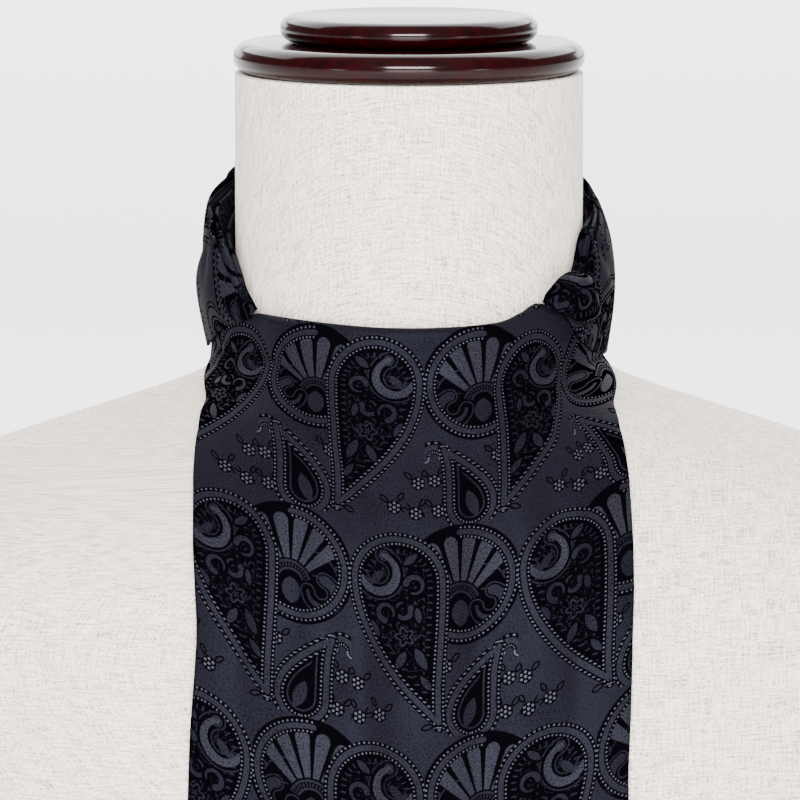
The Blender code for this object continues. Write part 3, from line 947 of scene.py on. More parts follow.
def chosen(first_if, first, second):
    """The first draft where `first_if` is 1, the second where it is 0."""
    return reckon("MULTIPLY_ADD", first - second, first_if, second)


print("drafts can be added, subtracted, multiplied, divided and wrapped round")

# %% [markdown]
# ### From distances to threads
# A distance becomes a patch or a line of satin threads, with an edge about half a thread wide.
# Patches are laid over one another from the ground up: `cut` takes the satin away where a new
# shape comes, and `lay` puts its own threads there.

# %% Patches and lines of satin
THREAD_EDGE = 0.16  # mm over which the figure's edge passes from satin to matt


def inside(distance):
    """1 where a signed distance in mm is below zero."""
    return reckon("MULTIPLY_ADD", distance, -1 / THREAD_EDGE, 0.5, clamp=True)


def stroke(distance, half_width):
    """1 within this many mm of a line."""
    rise = half_width / THREAD_EDGE + 0.5
    return reckon("MULTIPLY_ADD", abs(distance), -1 / THREAD_EDGE, rise, clamp=True)


def cut(cover, *figures):
    """Matt threads where the cover is."""
    cleared = [figure * (1.0 - cover) for figure in figures]
    return cleared if len(cleared) > 1 else cleared[0]


def lay(figure, *covers):
    """Satin threads where any of the covers is."""
    for cover in covers:
        figure = greater(figure, cover)
    return figure


print("the figure's edge is", THREAD_EDGE, "mm wide")

# %% [markdown]
# ## The shapes of the figure
# A paisley is a drop with a bent tail. An arc is the line of a hook, a scroll or a stem. Beads are
# the rows of small dots that follow an outline at a fixed distance. Every shape gives its distance
# and how far along its line a point is, so that beads and ticks can be spaced along it.

# %% Drop, arc and beads
TAIL_STRETCH = 1.12  # how much longer the drop's bent outline is than its height
PETAL_REACH = (0.8, 0.22)  # a small flower's radius and its petals' swing, as shares


def turned(x, y, centre, degrees):
    """Coordinates about a centre, turned by this many degrees clockwise."""
    u, v = x - centre[0], y - centre[1]
    turn = math.radians(degrees)
    return (u * math.cos(turn) + v * math.sin(turn),
            v * math.cos(turn) - u * math.sin(turn))


def drop(x, y, centre, radius, tail, sway):
    """Signed distance to a drop with its head at the centre and its tail `tail` mm down, bent
    `sway` mm aside at its tip, and the length along its outline from the head's widest place."""
    u, v = x - centre[0], y - centre[1]
    share = bounded(v * (1 / tail), 0.0, 1.0)
    off = u - share * share * sway
    half = reckon("COSINE", share * (math.pi / 2)) * radius
    lean = share * (2 * sway / tail)
    taper = reckon("SINE", share * (math.pi / 2)) * (-radius * math.pi / 2 / tail)
    slope = lean * reckon("SIGN", off) + taper
    flank = (abs(off) - half) / reckon("SQRT", reckon("MULTIPLY_ADD", slope, slope, 1.0))
    head = length(u, v) - radius
    below = reckon("GREATER_THAN", v, 0.0)
    beyond = length(off, greater(v - tail, 0.0))
    flank = chosen(reckon("GREATER_THAN", v, tail), beyond, flank)
    round_it = reckon("ARCTAN2", v, abs(u)) * radius
    return chosen(below, flank, head), chosen(below, v * TAIL_STRETCH, round_it)


def arc(x, y, centre, radius, middle, half):
    """Distance to an arc whose middle is at an angle (degrees, clockwise from the right) and
    that reaches `half` degrees to each side, the place along it from -1 to 1, and its length."""
    a, b = turned(x, y, centre, middle)
    angle = reckon("ARCTAN2", b, a)
    reach = math.radians(half)
    held = bounded(angle, -reach, reach)
    distance = length(a - reckon("COSINE", held) * radius, b - reckon("SINE", held) * radius)
    return distance, held * (1 / reach), held * radius


def dot(x, y, centre, radius):
    return length(x - centre[0], y - centre[1]) - radius


def beads(distance, along, off, pitch, radius):
    """Dots beside a line, `off` mm from it on both sides and `pitch` mm apart."""
    return inside(length(along % pitch - pitch / 2, abs(distance) - off) - radius)


def leaf(x, y, centre, size, turn):
    """Signed distance to a pointed oval leaf of this length and width, turned by degrees."""
    half, wide = size[0] / 2, size[1] / 2
    a, b = turned(x, y, centre, turn)
    bow = (half * half - wide * wide) / (2 * wide)
    return length(a, abs(b) + bow) - (bow + wide)


def bloom(x, y, centre, radius, petals):
    """Signed distance to a small flower with round petals."""
    u, v = x - centre[0], y - centre[1]
    wave = reckon("COSINE", reckon("ARCTAN2", v, u) * petals)
    return length(u, v) - (wave * (radius * PETAL_REACH[1]) + radius * PETAL_REACH[0])


print("shapes: drop, arc, dot, beads, leaf and bloom")

# %% [markdown]
# ## The repeat
# The figure repeats every 62 mm across. Each row of it is 75 mm deep, and every second row is
# turned over left to right, so the large drops lean to one side and then to the other. The draft
# of one row is therefore enough for the whole cloth. Each shape is drawn about its own middle, and
# `grown` spreads it to fill the row.

# %% Fold the cloth into one repeat
REPEAT_ACROSS = 62.0
REPEAT_DOWN = 75.0
ROW_LIFT = 3.5
TURNED_SHIFT = -16.5
CELL_LEFT = -56.5


def folded(across, down):
    """The place within one repeat, in mm, of a place on the cloth."""
    lifted = down + ROW_LIFT
    odd = reckon("FLOOR", lifted * (1 / REPEAT_DOWN)) % 2.0
    x = across * (1.0 - odd * 2.0) + odd * TURNED_SHIFT
    return (x - CELL_LEFT) % REPEAT_ACROSS + CELL_LEFT, lifted % REPEAT_DOWN


def grown(x, y, from_middle, to_middle, scale):
    """Coordinates in which a shape drawn about one middle appears larger about another."""
    return (
        (x - to_middle[0]) * (1 / scale) + from_middle[0],
        (y - to_middle[1]) * (1 / scale) + from_middle[1],
    )


print("one repeat is", REPEAT_ACROSS, "x", REPEAT_DOWN, "mm")

# %% [markdown]
# ### The outline
# Every large shape is bordered in one way: a satin band in a matt channel, with a row of beads
# on each side of it. The beads are painted lighter, a painted highlight, and the band gets a little
# painted sheen. The channel also cuts what lies below, so the shapes overlap cleanly.

# %% Draw an outline
# painted sheen: how much lighter the outline's band is painted
BAND_SHINE = 0.07
CHANNEL_HALF = 2.5  # these are in mm where the outline's size is 1
BAND_HALF = 0.98
BEADS_OFF = 1.8
BEADS_PITCH = 1.7
BEADS_RADIUS = 0.36


def outlined(figure, painted_sheen, distance, along, size):
    """A satin band along a line, in a matt channel with beads on both sides, given painted sheen.
    """
    figure, painted_sheen = cut(stroke(distance, CHANNEL_HALF * size), figure, painted_sheen)
    band = stroke(distance, BAND_HALF * size)
    dots_and_sheen = beads(distance, along, BEADS_OFF * size, BEADS_PITCH * size, BEADS_RADIUS * size)
    # painted sheen on the band and a painted highlight on the beads
    return lay(figure, band, dots_and_sheen), lay(painted_sheen, band * BAND_SHINE, dots_and_sheen)


print("an outline is", 2 * CHANNEL_HALF, "mm wide at most")

# %% [markdown]
# ### The palmette
# A fan of six petals stands over a knot. A collar of two rings and short ticks holds the petals
# together, a swirl and two stems fill the side, and a curved band goes round them.

# %% Draw the palmette
PALMETTE_MIDDLE = (-38.0, 21.0)
PALMETTE_PLACE = (-36.0, 21.5)
PALMETTE_GROWTH = 1.25
PALMETTE_RADIUS = 17.4
KNOT = (-37.2, 27.0)
PETALS = 6
PETAL_STEP = math.radians(18.5)
PETAL_FROM, PETAL_TO = 6.8, 17.6
PETAL_SPREAD = 0.115  # half a petal's width, as a share of the distance from the knot
# painted sheen: how much lighter the petals and the hook are painted
PETAL_SHINE = 0.2
COLLAR_HALF = 1.25  # in radians
COLLAR_RINGS = ((5.9, 0.34), (3.7, 0.32))  # radius and half the line's width
COLLAR_MIDDLE, COLLAR_TICK = 4.8, 0.5
TICK_RADIUS, TICK_PITCH = 5.0, 0.95
KNOT_LEAF = ((-37.2, 29.4), (7.6, 5.2), 90)
SWIRL = ((-46.2, 28.0), 3.9, 130, 125)
SWIRL_HALF, SWIRL_GROWS, SWIRL_LINE = 0.95, 0.5, 2.1
SPRIGS = (((-50.4, 12.4), 1.15, 3), ((-51.6, 19.8), 1.15, 3))
STEMS = (((-43.4, 23.9), 7.6, 230, 32), ((-44.6, 29.1), 5.6, 245, 32))
CURVED_BAND = (14.9, 170, 104)
PALMETTE_OUTLINE = 0.76
FINE_LINE = 0.2  # half a line's width
FIRM_LINE = 0.22


def draw_petals(reach, angle):
    """The fan, from each point's distance and direction from the knot."""
    within = angle % PETAL_STEP - PETAL_STEP / 2
    fan = reckon("LESS_THAN", abs(angle), PETAL_STEP * PETALS / 2)
    wide = reach * PETAL_SPREAD
    side = abs(reckon("SINE", within) * reach)
    tip = length(side, greater(reach - PETAL_TO, 0.0)) - wide
    return inside(greater(tip, PETAL_FROM - reach)) * fan


def draw_collar(reach, angle):
    rings = lay(*(stroke(reach - radius, half) for radius, half in COLLAR_RINGS))
    ticks = stroke((angle * TICK_RADIUS) % TICK_PITCH - TICK_PITCH / 2, FIRM_LINE)
    ticks = ticks * stroke(reach - COLLAR_MIDDLE, COLLAR_TICK)
    return greater(rings, ticks) * reckon("LESS_THAN", abs(angle), COLLAR_HALF)


def draw_palmette(x, y, figure, painted_sheen):
    """A fan of petals over a banded knot, inside a curved band."""
    x, y = grown(x, y, PALMETTE_MIDDLE, PALMETTE_PLACE, PALMETTE_GROWTH)
    figure, painted_sheen = cut(inside(dot(x, y, PALMETTE_MIDDLE, PALMETTE_RADIUS)), figure, painted_sheen)
    u, v = x - KNOT[0], KNOT[1] - y
    reach, angle = length(u, v), reckon("ARCTAN2", u, v)
    petals = draw_petals(reach, angle)
    # the petals get painted sheen
    figure, painted_sheen = lay(figure, petals), lay(painted_sheen, petals * PETAL_SHINE)
    figure = lay(figure, draw_collar(reach, angle), inside(leaf(x, y, *KNOT_LEAF)))
    swirl, place, _ = arc(x, y, *SWIRL)
    figure = lay(figure, inside(swirl - (place * SWIRL_GROWS + SWIRL_HALF)))
    figure = lay(figure, stroke(swirl - SWIRL_LINE, FINE_LINE))
    figure = lay(figure, *(stroke(bloom(x, y, *sprig), FIRM_LINE) for sprig in SPRIGS))
    figure = lay(figure, *(stroke(arc(x, y, *stem)[0], FINE_LINE) for stem in STEMS))
    band, _, run = arc(x, y, PALMETTE_MIDDLE, *CURVED_BAND)
    return outlined(figure, painted_sheen, band, run, PALMETTE_OUTLINE)


print(PETALS, "petals over", round(PETALS * math.degrees(PETAL_STEP)), "degrees")

# %% [markdown]
# ### The large drop
# The large paisley drop is filled to its edge: ticks inside its outline, a hooked scroll, curls,
# a flower and leaves. What is left between them is scribbled over with a fine noise and dots, as
# a weaver fills a ground with tendrils.

# %% Fill the large drop
LARGE_MIDDLE = (-11.4, 20.0)
LARGE_PLACE = (-12.4, 21.5)
LARGE_GROWTH = 1.13
LARGE_DROP = (14.2, 43.0, -12.8)  # the head's radius, the tail's length and its sway
LARGE_OUTLINE = 0.88
SCROLL = ((-5.0, 17.2), 6.0, 138, 116)
SCROLL_HALF, SCROLL_TAPER, SCROLL_THICKEST = 1.55, 0.7, -0.1
SCROLL_LINE, SCROLL_ROOM = 2.5, 3.0
SCRIBBLE_SCALE, SCRIBBLE_DETAIL = 0.36, 0.6
SCRIBBLE_SHARPNESS, SCRIBBLE_WIDTH = -34.0, 1.05
GROUND_DOTS = (2.6, 2.3, 0.38)  # pitch across, pitch down and radius
FILLER_SHADE, FILLER_INSET = 0.75, 4.3
TICK_STEP, TICK_HALF, TICK_DEPTH, TICK_REACH = 2.6, 0.3, 4.0, 0.75
HEAD_DOTS = (((-6.9, 11.6), 1.75), ((-1.7, 21.0), 1.5))
HEAD_LEAF = ((-4.6, 18.8), (6.2, 2.7), 48)
CURLS = (
    ((-16.6, 20.4), 2.6, 210, 140), ((-13.2, 28.4), 2.4, 60, 140), ((-7.6, 29.6), 2.5, 300, 140),
)
CURL_HALF, CURL_GROWS, CURL_ROOM = 0.62, 0.35, 1.5
FLOWER = ((-13.6, 36.6), 2.9, 5)
FLOWER_LINE, FLOWER_HEART, FLOWER_ROOM = 0.4, 1.7, 0.9
LEAF_ROOM = 0.7
DROP_LEAVES = (
    ((-18.6, 43.4), (7.6, 3.0), 118), ((-12.4, 44.0), (6.4, 2.6), 62),
    ((-20.2, 51.0), (6.0, 2.2), 128), ((-17.8, 29.8), (5.0, 2.1), 100),
    ((-4.0, 35.0), (5.4, 2.2), 120), ((-15.4, 12.2), (5.6, 2.3), 40),
)


def draw_filler(x, y):
    """Tendrils and small dots, all over."""
    noise = Draft.tree.nodes.new("ShaderNodeTexNoise")
    noise.noise_dimensions = "2D"
    noise.inputs["Scale"].default_value = SCRIBBLE_SCALE
    noise.inputs["Detail"].default_value = SCRIBBLE_DETAIL
    place = Draft.tree.nodes.new("ShaderNodeCombineXYZ")
    Draft.tree.links.new(x.socket, place.inputs[0])
    Draft.tree.links.new(y.socket, place.inputs[1])
    Draft.tree.links.new(place.outputs[0], noise.inputs["Vector"])
    scribble = abs(Draft(noise.outputs["Fac"]) - 0.5)
    tendrils = reckon("MULTIPLY_ADD", scribble, SCRIBBLE_SHARPNESS, SCRIBBLE_WIDTH, clamp=True)
    wide, deep, radius = GROUND_DOTS
    grain = length(x % wide - wide / 2, (y + x * 0.5) % deep - deep / 2) - radius
    return greater(tendrils, inside(grain))


def draw_large_drop(x, y, figure, painted_sheen):
    """The large drop: beads and ticks inside its outline, a hooked scroll, curls and leaves."""
    x, y = grown(x, y, LARGE_MIDDLE, LARGE_PLACE, LARGE_GROWTH)
    edge, run = drop(x, y, LARGE_MIDDLE, *LARGE_DROP)
    figure, painted_sheen = cut(inside(edge), figure, painted_sheen)
    scroll, place_on, _ = arc(x, y, *SCROLL)
    filler = draw_filler(x, y) * inside(edge + FILLER_INSET) * inside(SCROLL_ROOM - scroll)
    ticks = stroke(run % TICK_STEP - TICK_STEP / 2, TICK_HALF)
    ticks = ticks * stroke(edge + TICK_DEPTH, TICK_REACH)
    figure = lay(figure, filler * FILLER_SHADE, ticks)
    hook = inside(scroll - (SCROLL_HALF - abs(place_on - SCROLL_THICKEST) * SCROLL_TAPER))
    # the hook gets painted sheen
    figure, painted_sheen = lay(figure, hook), lay(painted_sheen, hook * PETAL_SHINE)
    figure = lay(figure, stroke(scroll - SCROLL_LINE, FIRM_LINE))
    figure = lay(figure, *(inside(dot(x, y, *head_dot)) for head_dot in HEAD_DOTS))
    figure = lay(figure, inside(leaf(x, y, *HEAD_LEAF)))
    for one_curl in CURLS:
        curl, place_on, _ = arc(x, y, *one_curl)
        figure = cut(inside(curl - CURL_ROOM), figure)
        figure = lay(figure, inside(curl - (place_on * CURL_GROWS + CURL_HALF)))
    flower = bloom(x, y, *FLOWER)
    figure = cut(inside(flower - FLOWER_ROOM), figure)
    figure = lay(figure, stroke(flower, FLOWER_LINE), inside(flower + FLOWER_HEART))
    for one_leaf in DROP_LEAVES:
        blade = leaf(x, y, *one_leaf)
        figure = lay(cut(inside(blade - LEAF_ROOM), figure), inside(blade))
    return outlined(figure, painted_sheen, edge, run, LARGE_OUTLINE)


print("leaves in the large drop:", len(DROP_LEAVES) + 1)

# %% [markdown]
# ### The small drop and the florets
# A small drop stands on its head between the large ones, with its tail up and a leaf inside. The
# florets lie on the satin ground: a ring of six dots round a seventh, and three leaves. All of
# them are one drawing, because every point of the cloth draws only the floret nearest to it.

# %% Draw the small shapes
SMALL_MIDDLE = (-41.0, 57.0)
SMALL_PLACE = (-41.5, 60.5)
SMALL_GROWTH = 1.25
SMALL_HEAD = (-39.0, 57.0)
SMALL_DROP = (6.8, 17.5, -8.5)
UPSIDE_DOWN = 120.0  # y is taken from this to stand the drop on its head
SMALL_LEAF = ((-38.6, 62.6), (8.6, 3.6), 70)
SMALL_INSET, SMALL_LINE = 2.9, 0.24
SMALL_HOOK = ((-50.4, 47.4), 2.9, 265, 95)
SMALL_OUTLINE = 0.8
FLORETS = (
    (-53.0, 58.0), (-51.6, 69.6), (3.2, 59.0), (-5.4, 68.6), (-29.4, 50.4), (2.4, 70.6),
    (-27.0, 71.0),
)
FLORET_RING, FLORET_DOT, FLORET_HEART = 1.65, 0.5, 0.55
FLORET_ROOM = 2.6
SPRIG_ROOM, SPRIG_TRIM = 0.5, 0.1
FLORET_LEAVES = (
    ((4.3, 0.9), (3.6, 1.5), 20), ((-3.6, -2.9), (3.2, 1.3), 225), ((2.3, -4.2), (2.8, 1.2), 300),
)


def draw_small_drop(x, y, figure, painted_sheen):
    """A small drop on its head, with its tail up and a leaf inside."""
    x, y = grown(x, y, SMALL_MIDDLE, SMALL_PLACE, SMALL_GROWTH)
    edge, run = drop(x, UPSIDE_DOWN - y, SMALL_HEAD, *SMALL_DROP)
    figure, painted_sheen = cut(inside(edge), figure, painted_sheen)
    figure = lay(figure, inside(leaf(x, y, *SMALL_LEAF)), stroke(edge + SMALL_INSET, SMALL_LINE))
    hook, _, hook_run = arc(x, y, *SMALL_HOOK)
    figure, painted_sheen = outlined(figure, painted_sheen, hook, hook_run, SMALL_OUTLINE)
    return outlined(figure, painted_sheen, edge, run, SMALL_OUTLINE)


def draw_florets(x, y, figure, painted_sheen):
    """Florets on the satin ground: a ring of six dots round a seventh, and three leaves."""
    near_u, near_v = x - FLORETS[0][0], y - FLORETS[0][1]
    near = length(near_u, near_v)
    for centre in FLORETS[1:]:
        u, v = x - centre[0], y - centre[1]
        reach = length(u, v)
        closer = reckon("LESS_THAN", reach, near)
        near_u, near_v = chosen(closer, u, near_u), chosen(closer, v, near_v)
        near = lesser(near, reach)
    sixth = math.pi / 3
    within = reckon("ARCTAN2", near_v, near_u) % sixth - sixth / 2
    a = reckon("COSINE", within) * near - FLORET_RING
    b = reckon("SINE", within) * near
    dots_and_sheen = greater(inside(length(a, b) - FLORET_DOT), inside(near - FLORET_HEART))
    figure = cut(inside(near - FLORET_ROOM), figure)
    for one_leaf in FLORET_LEAVES:
        sprig = leaf(near_u, near_v, *one_leaf)
        figure = lay(cut(inside(sprig - SPRIG_ROOM), figure), inside(sprig + SPRIG_TRIM))
    # the floret dots are painted lighter: a painted highlight
    return lay(figure, dots_and_sheen), lay(painted_sheen, dots_and_sheen)


print("florets in one repeat:", len(FLORETS))


# %% [markdown]
# ## Silk
# The draft becomes a node group, so that all four cloth pieces are cut from one cloth. It gives
# the figure (1 where satin shows), and a painted sheen: the beads, and a little of the bands,
# petals and hook, are painted lighter as highlights.

# %% Gather the figure in a group


def cloth_places(tree, coordinates):
    """Places along the cloth, in mm, from its own coordinates in metres."""
    parts = tree.nodes.new("ShaderNodeSeparateXYZ")
    tree.links.new(coordinates, parts.inputs[0])
    return Draft(parts.outputs[0]) * 1000.0, Draft(parts.outputs[1]) * 1000.0


def weave_group():
    """The node group that draws the jacquard's figure from the cloth's own coordinates."""
    group = bpy.data.node_groups.new("jacquard_figure", "ShaderNodeTree")
    group.interface.new_socket("Thread", in_out="INPUT", socket_type="NodeSocketVector")
    group.interface.new_socket("Figure", in_out="OUTPUT", socket_type="NodeSocketFloat")
    # the second output is the painted sheen: where the satin is painted lighter as a highlight
    group.interface.new_socket("Painted_sheen", in_out="OUTPUT", socket_type="NodeSocketFloat")
    Draft.tree = group
    begin = group.nodes.new("NodeGroupInput")
    end = group.nodes.new("NodeGroupOutput")
    x, y = folded(*cloth_places(group, begin.outputs[0]))
    # the painted sheen starts at nothing and is laid on by each drawing
    painted_sheen = x * 0.0
    figure = painted_sheen + 1.0
    for draw in (draw_florets, draw_palmette, draw_small_drop, draw_large_drop):
        figure, painted_sheen = draw(x, y, figure, painted_sheen)
    group.links.new(figure.socket, end.inputs[0])
    group.links.new(painted_sheen.socket, end.inputs[1])
    print("nodes in the figure:", len(group.nodes))
    return group


# %% [markdown]
# ### Helpers for every finish
# Each finish starts as Blender's general shader. A colour between two others, a soft noise, a
# stretched one and a relief are needed by all of them.

# %% Helpers for the finishes
NOISE_FROM, NOISE_TO = 0.3, 0.7  # most of a noise lies between these


def new_finish(name):
    finish = bpy.data.materials.new(name)
    finish.use_nodes = True
    Draft.tree = finish.node_tree
    return finish, finish.node_tree, finish.node_tree.nodes["Principled BSDF"]


def thread_of(tree):
    """The cloth's own coordinates."""
    node = tree.nodes.new("ShaderNodeUVMap")
    node.uv_map = "thread"
    return node.outputs[0]


def mixed(tree, share, first, second):
    """A colour between two, each a plain colour or a socket."""
    mix = tree.nodes.new("ShaderNodeMix")
    mix.data_type = "RGBA"
    tree.links.new(share.socket, mix.inputs["Factor"])
    for socket, value in ((mix.inputs["A"], first), (mix.inputs["B"], second)):
        if isinstance(value, tuple):
            socket.default_value = value
        else:
            tree.links.new(value, socket)
    return mix.outputs["Result"]


def noise(tree, vector, scale, detail):
    node = tree.nodes.new("ShaderNodeTexNoise")
    node.inputs["Scale"].default_value = scale
    node.inputs["Detail"].default_value = detail
    tree.links.new(vector, node.inputs["Vector"])
    return Draft(node.outputs["Fac"])


def cloudiness(tree, vector, scale, detail, low, high):
    """A soft noise, from low to high."""
    cloud = noise(tree, vector, scale, detail)
    spread = tree.nodes.new("ShaderNodeMapRange")
    spread.inputs["From Min"].default_value = NOISE_FROM
    spread.inputs["From Max"].default_value = NOISE_TO
    spread.inputs["To Min"].default_value = low
    spread.inputs["To Max"].default_value = high
    tree.links.new(cloud.socket, spread.inputs["Value"])
    return Draft(spread.outputs[0])


def stretched(tree, vector, scale):
    mapping = tree.nodes.new("ShaderNodeMapping")
    mapping.inputs["Scale"].default_value = scale
    tree.links.new(vector, mapping.inputs["Vector"])
    return mapping.outputs[0]


def relief(tree, shader, height, strength, distance):
    """Lets a draft of heights catch the light. `distance` is in metres."""
    bump = tree.nodes.new("ShaderNodeBump")
    bump.inputs["Strength"].default_value = strength
    bump.inputs["Distance"].default_value = distance
    tree.links.new(height.socket, bump.inputs["Height"])
    tree.links.new(bump.outputs[0], shader.inputs["Normal"])


def ripple(place, pitch):
    """A wave along a place in mm, from -1 to 1."""
    return reckon("SINE", place * (2 * math.pi / pitch))


def set_surface(shader, values):
    """Numbers that are the same all over a piece go on the shader's own sockets."""
    for name, value in values.items():
        shader.inputs[name].default_value = value


print("helpers ready for silk, linen and wood")

# %% [markdown]
# ### The silk's threads
# Matt threads are nearly black. Satin threads are slate, a little metallic, because smooth
# filaments mirror the light the way they lie. A fine rib and a grain of single threads keep the
# satin from looking printed, and a soft cloudiness is painted sheen, lighter and darker in
# patches. The beads, and a little of the bands, petals and hook, are painted lighter still: a
# painted highlight.

# %% Weave the silk
MATT_COLOUR = (0.0009, 0.0008, 0.0014, 1.0)
SATIN_COLOUR = (0.0080, 0.0077, 0.0121, 1.0)
# painted highlight: the colour painted on the beads and the sheen of bands, petals and hook
PAINTED_SHEEN_COLOUR = (0.040, 0.040, 0.053, 1.0)
TWILL_MM = 0.9
WEFT_MM = 0.62
RIB_DEPTH = 0.26
GRAIN = (1400.0, 1.0, 0.3, 1.72)  # scale, detail, darkest and lightest
# painted sheen: the satin painted lighter and darker in soft patches
SHEEN_CLOUDS = (34.0, 2.0, 0.6, 1.6)
MATT_ROUGHNESS = 0.66
SATIN_SMOOTHNESS = 0.2
SATIN_METAL = 0.25
SILK_SURFACE = {"Specular IOR Level": 0.0}
SILK_RELIEF = (0.35, 0.00012)  # strength and distance


def weave_silk():
    finish, tree, shader = new_finish("silk_paisley_jacquard")
    thread = thread_of(tree)
    figure = tree.nodes.new("ShaderNodeGroup")
    figure.node_tree = weave_group()
    Draft.tree = tree
    tree.links.new(thread, figure.inputs[0])
    satin, dots_and_sheen = Draft(figure.outputs[0]), Draft(figure.outputs[1])
    across, down = cloth_places(tree, thread)
    rib = ripple(across + down * 0.5, TWILL_MM) * ripple(down, WEFT_MM)
    grain = cloudiness(tree, thread, *GRAIN)
    # the satin's colour carries the painted sheen of the soft patches
    shown = satin * grain * cloudiness(tree, thread, *SHEEN_CLOUDS) * (rib * RIB_DEPTH + 1.0)
    colour = mixed(tree, shown, MATT_COLOUR, SATIN_COLOUR)
    # painted highlight over the beads, bands, petals and hook
    colour = mixed(tree, dots_and_sheen * grain, colour, PAINTED_SHEEN_COLOUR)
    roughness = MATT_ROUGHNESS - satin * SATIN_SMOOTHNESS
    tree.links.new(colour, shader.inputs["Base Color"])
    tree.links.new((satin * SATIN_METAL).socket, shader.inputs["Metallic"])
    tree.links.new(roughness.socket, shader.inputs["Roughness"])
    set_surface(shader, SILK_SURFACE)
    relief(tree, shader, rib * 0.5 + grain, *SILK_RELIEF)
    return finish


silk = weave_silk()

# %% [markdown]
# ## Linen
# Linen yarn is uneven: here and there a thicker stretch, a slub, makes a short line across or
# down. Two stretched noises make the slubs, two waves make the threads, and the threads' relief
# comes from the same waves. The weave follows the skin's own coordinates.

# %% Weave the linen
LINEN_PALE = (0.99, 0.86, 0.755, 1.0)
LINEN_DEEP = (0.16, 0.13, 0.10, 1.0)
THREAD_MM = 0.85
SWAY = (60.0, 2.0)  # scale and detail of the threads' wandering
SWAY_MM = 2.2
SLUB_ACROSS = (110, 1500, 1)
SLUB_UP = (1500, 110, 1)
SLUB_NOISE = (1.0, 2.0, 0.0, 1.0)
SPECKS = (1100.0, 1.0, 0.0, 1.0)
SHADES = (0.10, 0.62, 0.52, 0.60)  # of threads, slubs across, slubs up and specks
SHADE_FLOOR = 0.60
HEIGHTS = (0.5, 0.8, 0.7)  # of threads, slubs across and slubs up
LINEN_SURFACE = {
    "Roughness": 0.95, "Specular IOR Level": 0.15, "Sheen Weight": 0.12, "Sheen Roughness": 0.5,
}
LINEN_RELIEF = (0.45, 0.0002)


def weave_linen():
    finish, tree, shader = new_finish("linen_cover")
    thread = thread_of(tree)
    sway = noise(tree, thread, *SWAY) * SWAY_MM
    across, up = cloth_places(tree, thread)
    threads = ripple(across + sway, THREAD_MM) * ripple(up + sway, THREAD_MM)
    slub_across = cloudiness(tree, stretched(tree, thread, SLUB_ACROSS), *SLUB_NOISE)
    slub_up = cloudiness(tree, stretched(tree, thread, SLUB_UP), *SLUB_NOISE)
    shade = threads * SHADES[0] + slub_across * SHADES[1] + slub_up * SHADES[2]
    shade = shade + cloudiness(tree, thread, *SPECKS) * SHADES[3]
    shade = bounded(shade - SHADE_FLOOR, 0.0, 1.0)
    tree.links.new(mixed(tree, shade, LINEN_PALE, LINEN_DEEP), shader.inputs["Base Color"])
    set_surface(shader, LINEN_SURFACE)
    height = threads * HEIGHTS[0] + slub_across * HEIGHTS[1] + slub_up * HEIGHTS[2]
    relief(tree, shader, height, *LINEN_RELIEF)
    return finish


linen = weave_linen()
print("linen threads every", THREAD_MM, "mm")

# %% [markdown]
# ## Cherry wood
# The cap is stained nearly black-red and polished. The grain is a wave across the disc, bent by a
# noise, and only just shows under a clear coat, which gives the sharp highlights.

# %% Stain and polish the wood
WOOD_DARK = (0.0040, 0.0002, 0.0005, 1.0)
WOOD_RED = (0.0140, 0.0003, 0.0008, 1.0)
WOOD_GRAIN = {"Scale": 90.0, "Distortion": 5.0, "Detail": 3.0, "Detail Scale": 1.6}
PORE_STRETCH = (120, 900, 900)
PORES = (1.0, 4.0)
GRAIN_SHARE, PORE_SHARE = 0.55, 0.5
WOOD_ROUGHNESS, GRAIN_ROUGHNESS = 0.2, 0.12
WOOD_SURFACE = {
    "Specular IOR Level": 0.0, "Coat Weight": 1.0, "Coat Roughness": 0.14, "Coat IOR": 1.27,
}
WOOD_RELIEF = (0.12, 0.0002)


def stain_wood():
    finish, tree, shader = new_finish("cherry_polished")
    place = tree.nodes.new("ShaderNodeTexCoord").outputs["Object"]
    grain = tree.nodes.new("ShaderNodeTexWave")
    grain.bands_direction = "Y"
    for name, value in WOOD_GRAIN.items():
        grain.inputs[name].default_value = value
    tree.links.new(place, grain.inputs["Vector"])
    pores = noise(tree, stretched(tree, place, PORE_STRETCH), *PORES)
    figure = Draft(grain.outputs["Fac"]) * GRAIN_SHARE + pores * PORE_SHARE
    roughness = figure * GRAIN_ROUGHNESS + WOOD_ROUGHNESS
    tree.links.new(mixed(tree, figure, WOOD_DARK, WOOD_RED), shader.inputs["Base Color"])
    tree.links.new(roughness.socket, shader.inputs["Roughness"])
    set_surface(shader, WOOD_SURFACE)
    relief(tree, shader, figure, *WOOD_RELIEF)
    return finish


cherry = stain_wood()
print("finishes:", silk.name, linen.name, cherry.name)

# %% [markdown]
# ## Put the form together
# The linen body comes first, then the two discs of the cap.

# %% Make the form
build_body(linen)
for cap_row in CAP_ROWS:
    turn_disc(cap_row, cherry)

# %% [markdown]
# ## Put the cravat together
# Creases that are too small for the solids are placed here: where the band is pulled
# round the corner of the neck, where the puff is gathered, and where the blade leaves
# the throat. Each has its own length, depth and width, and no two are alike.

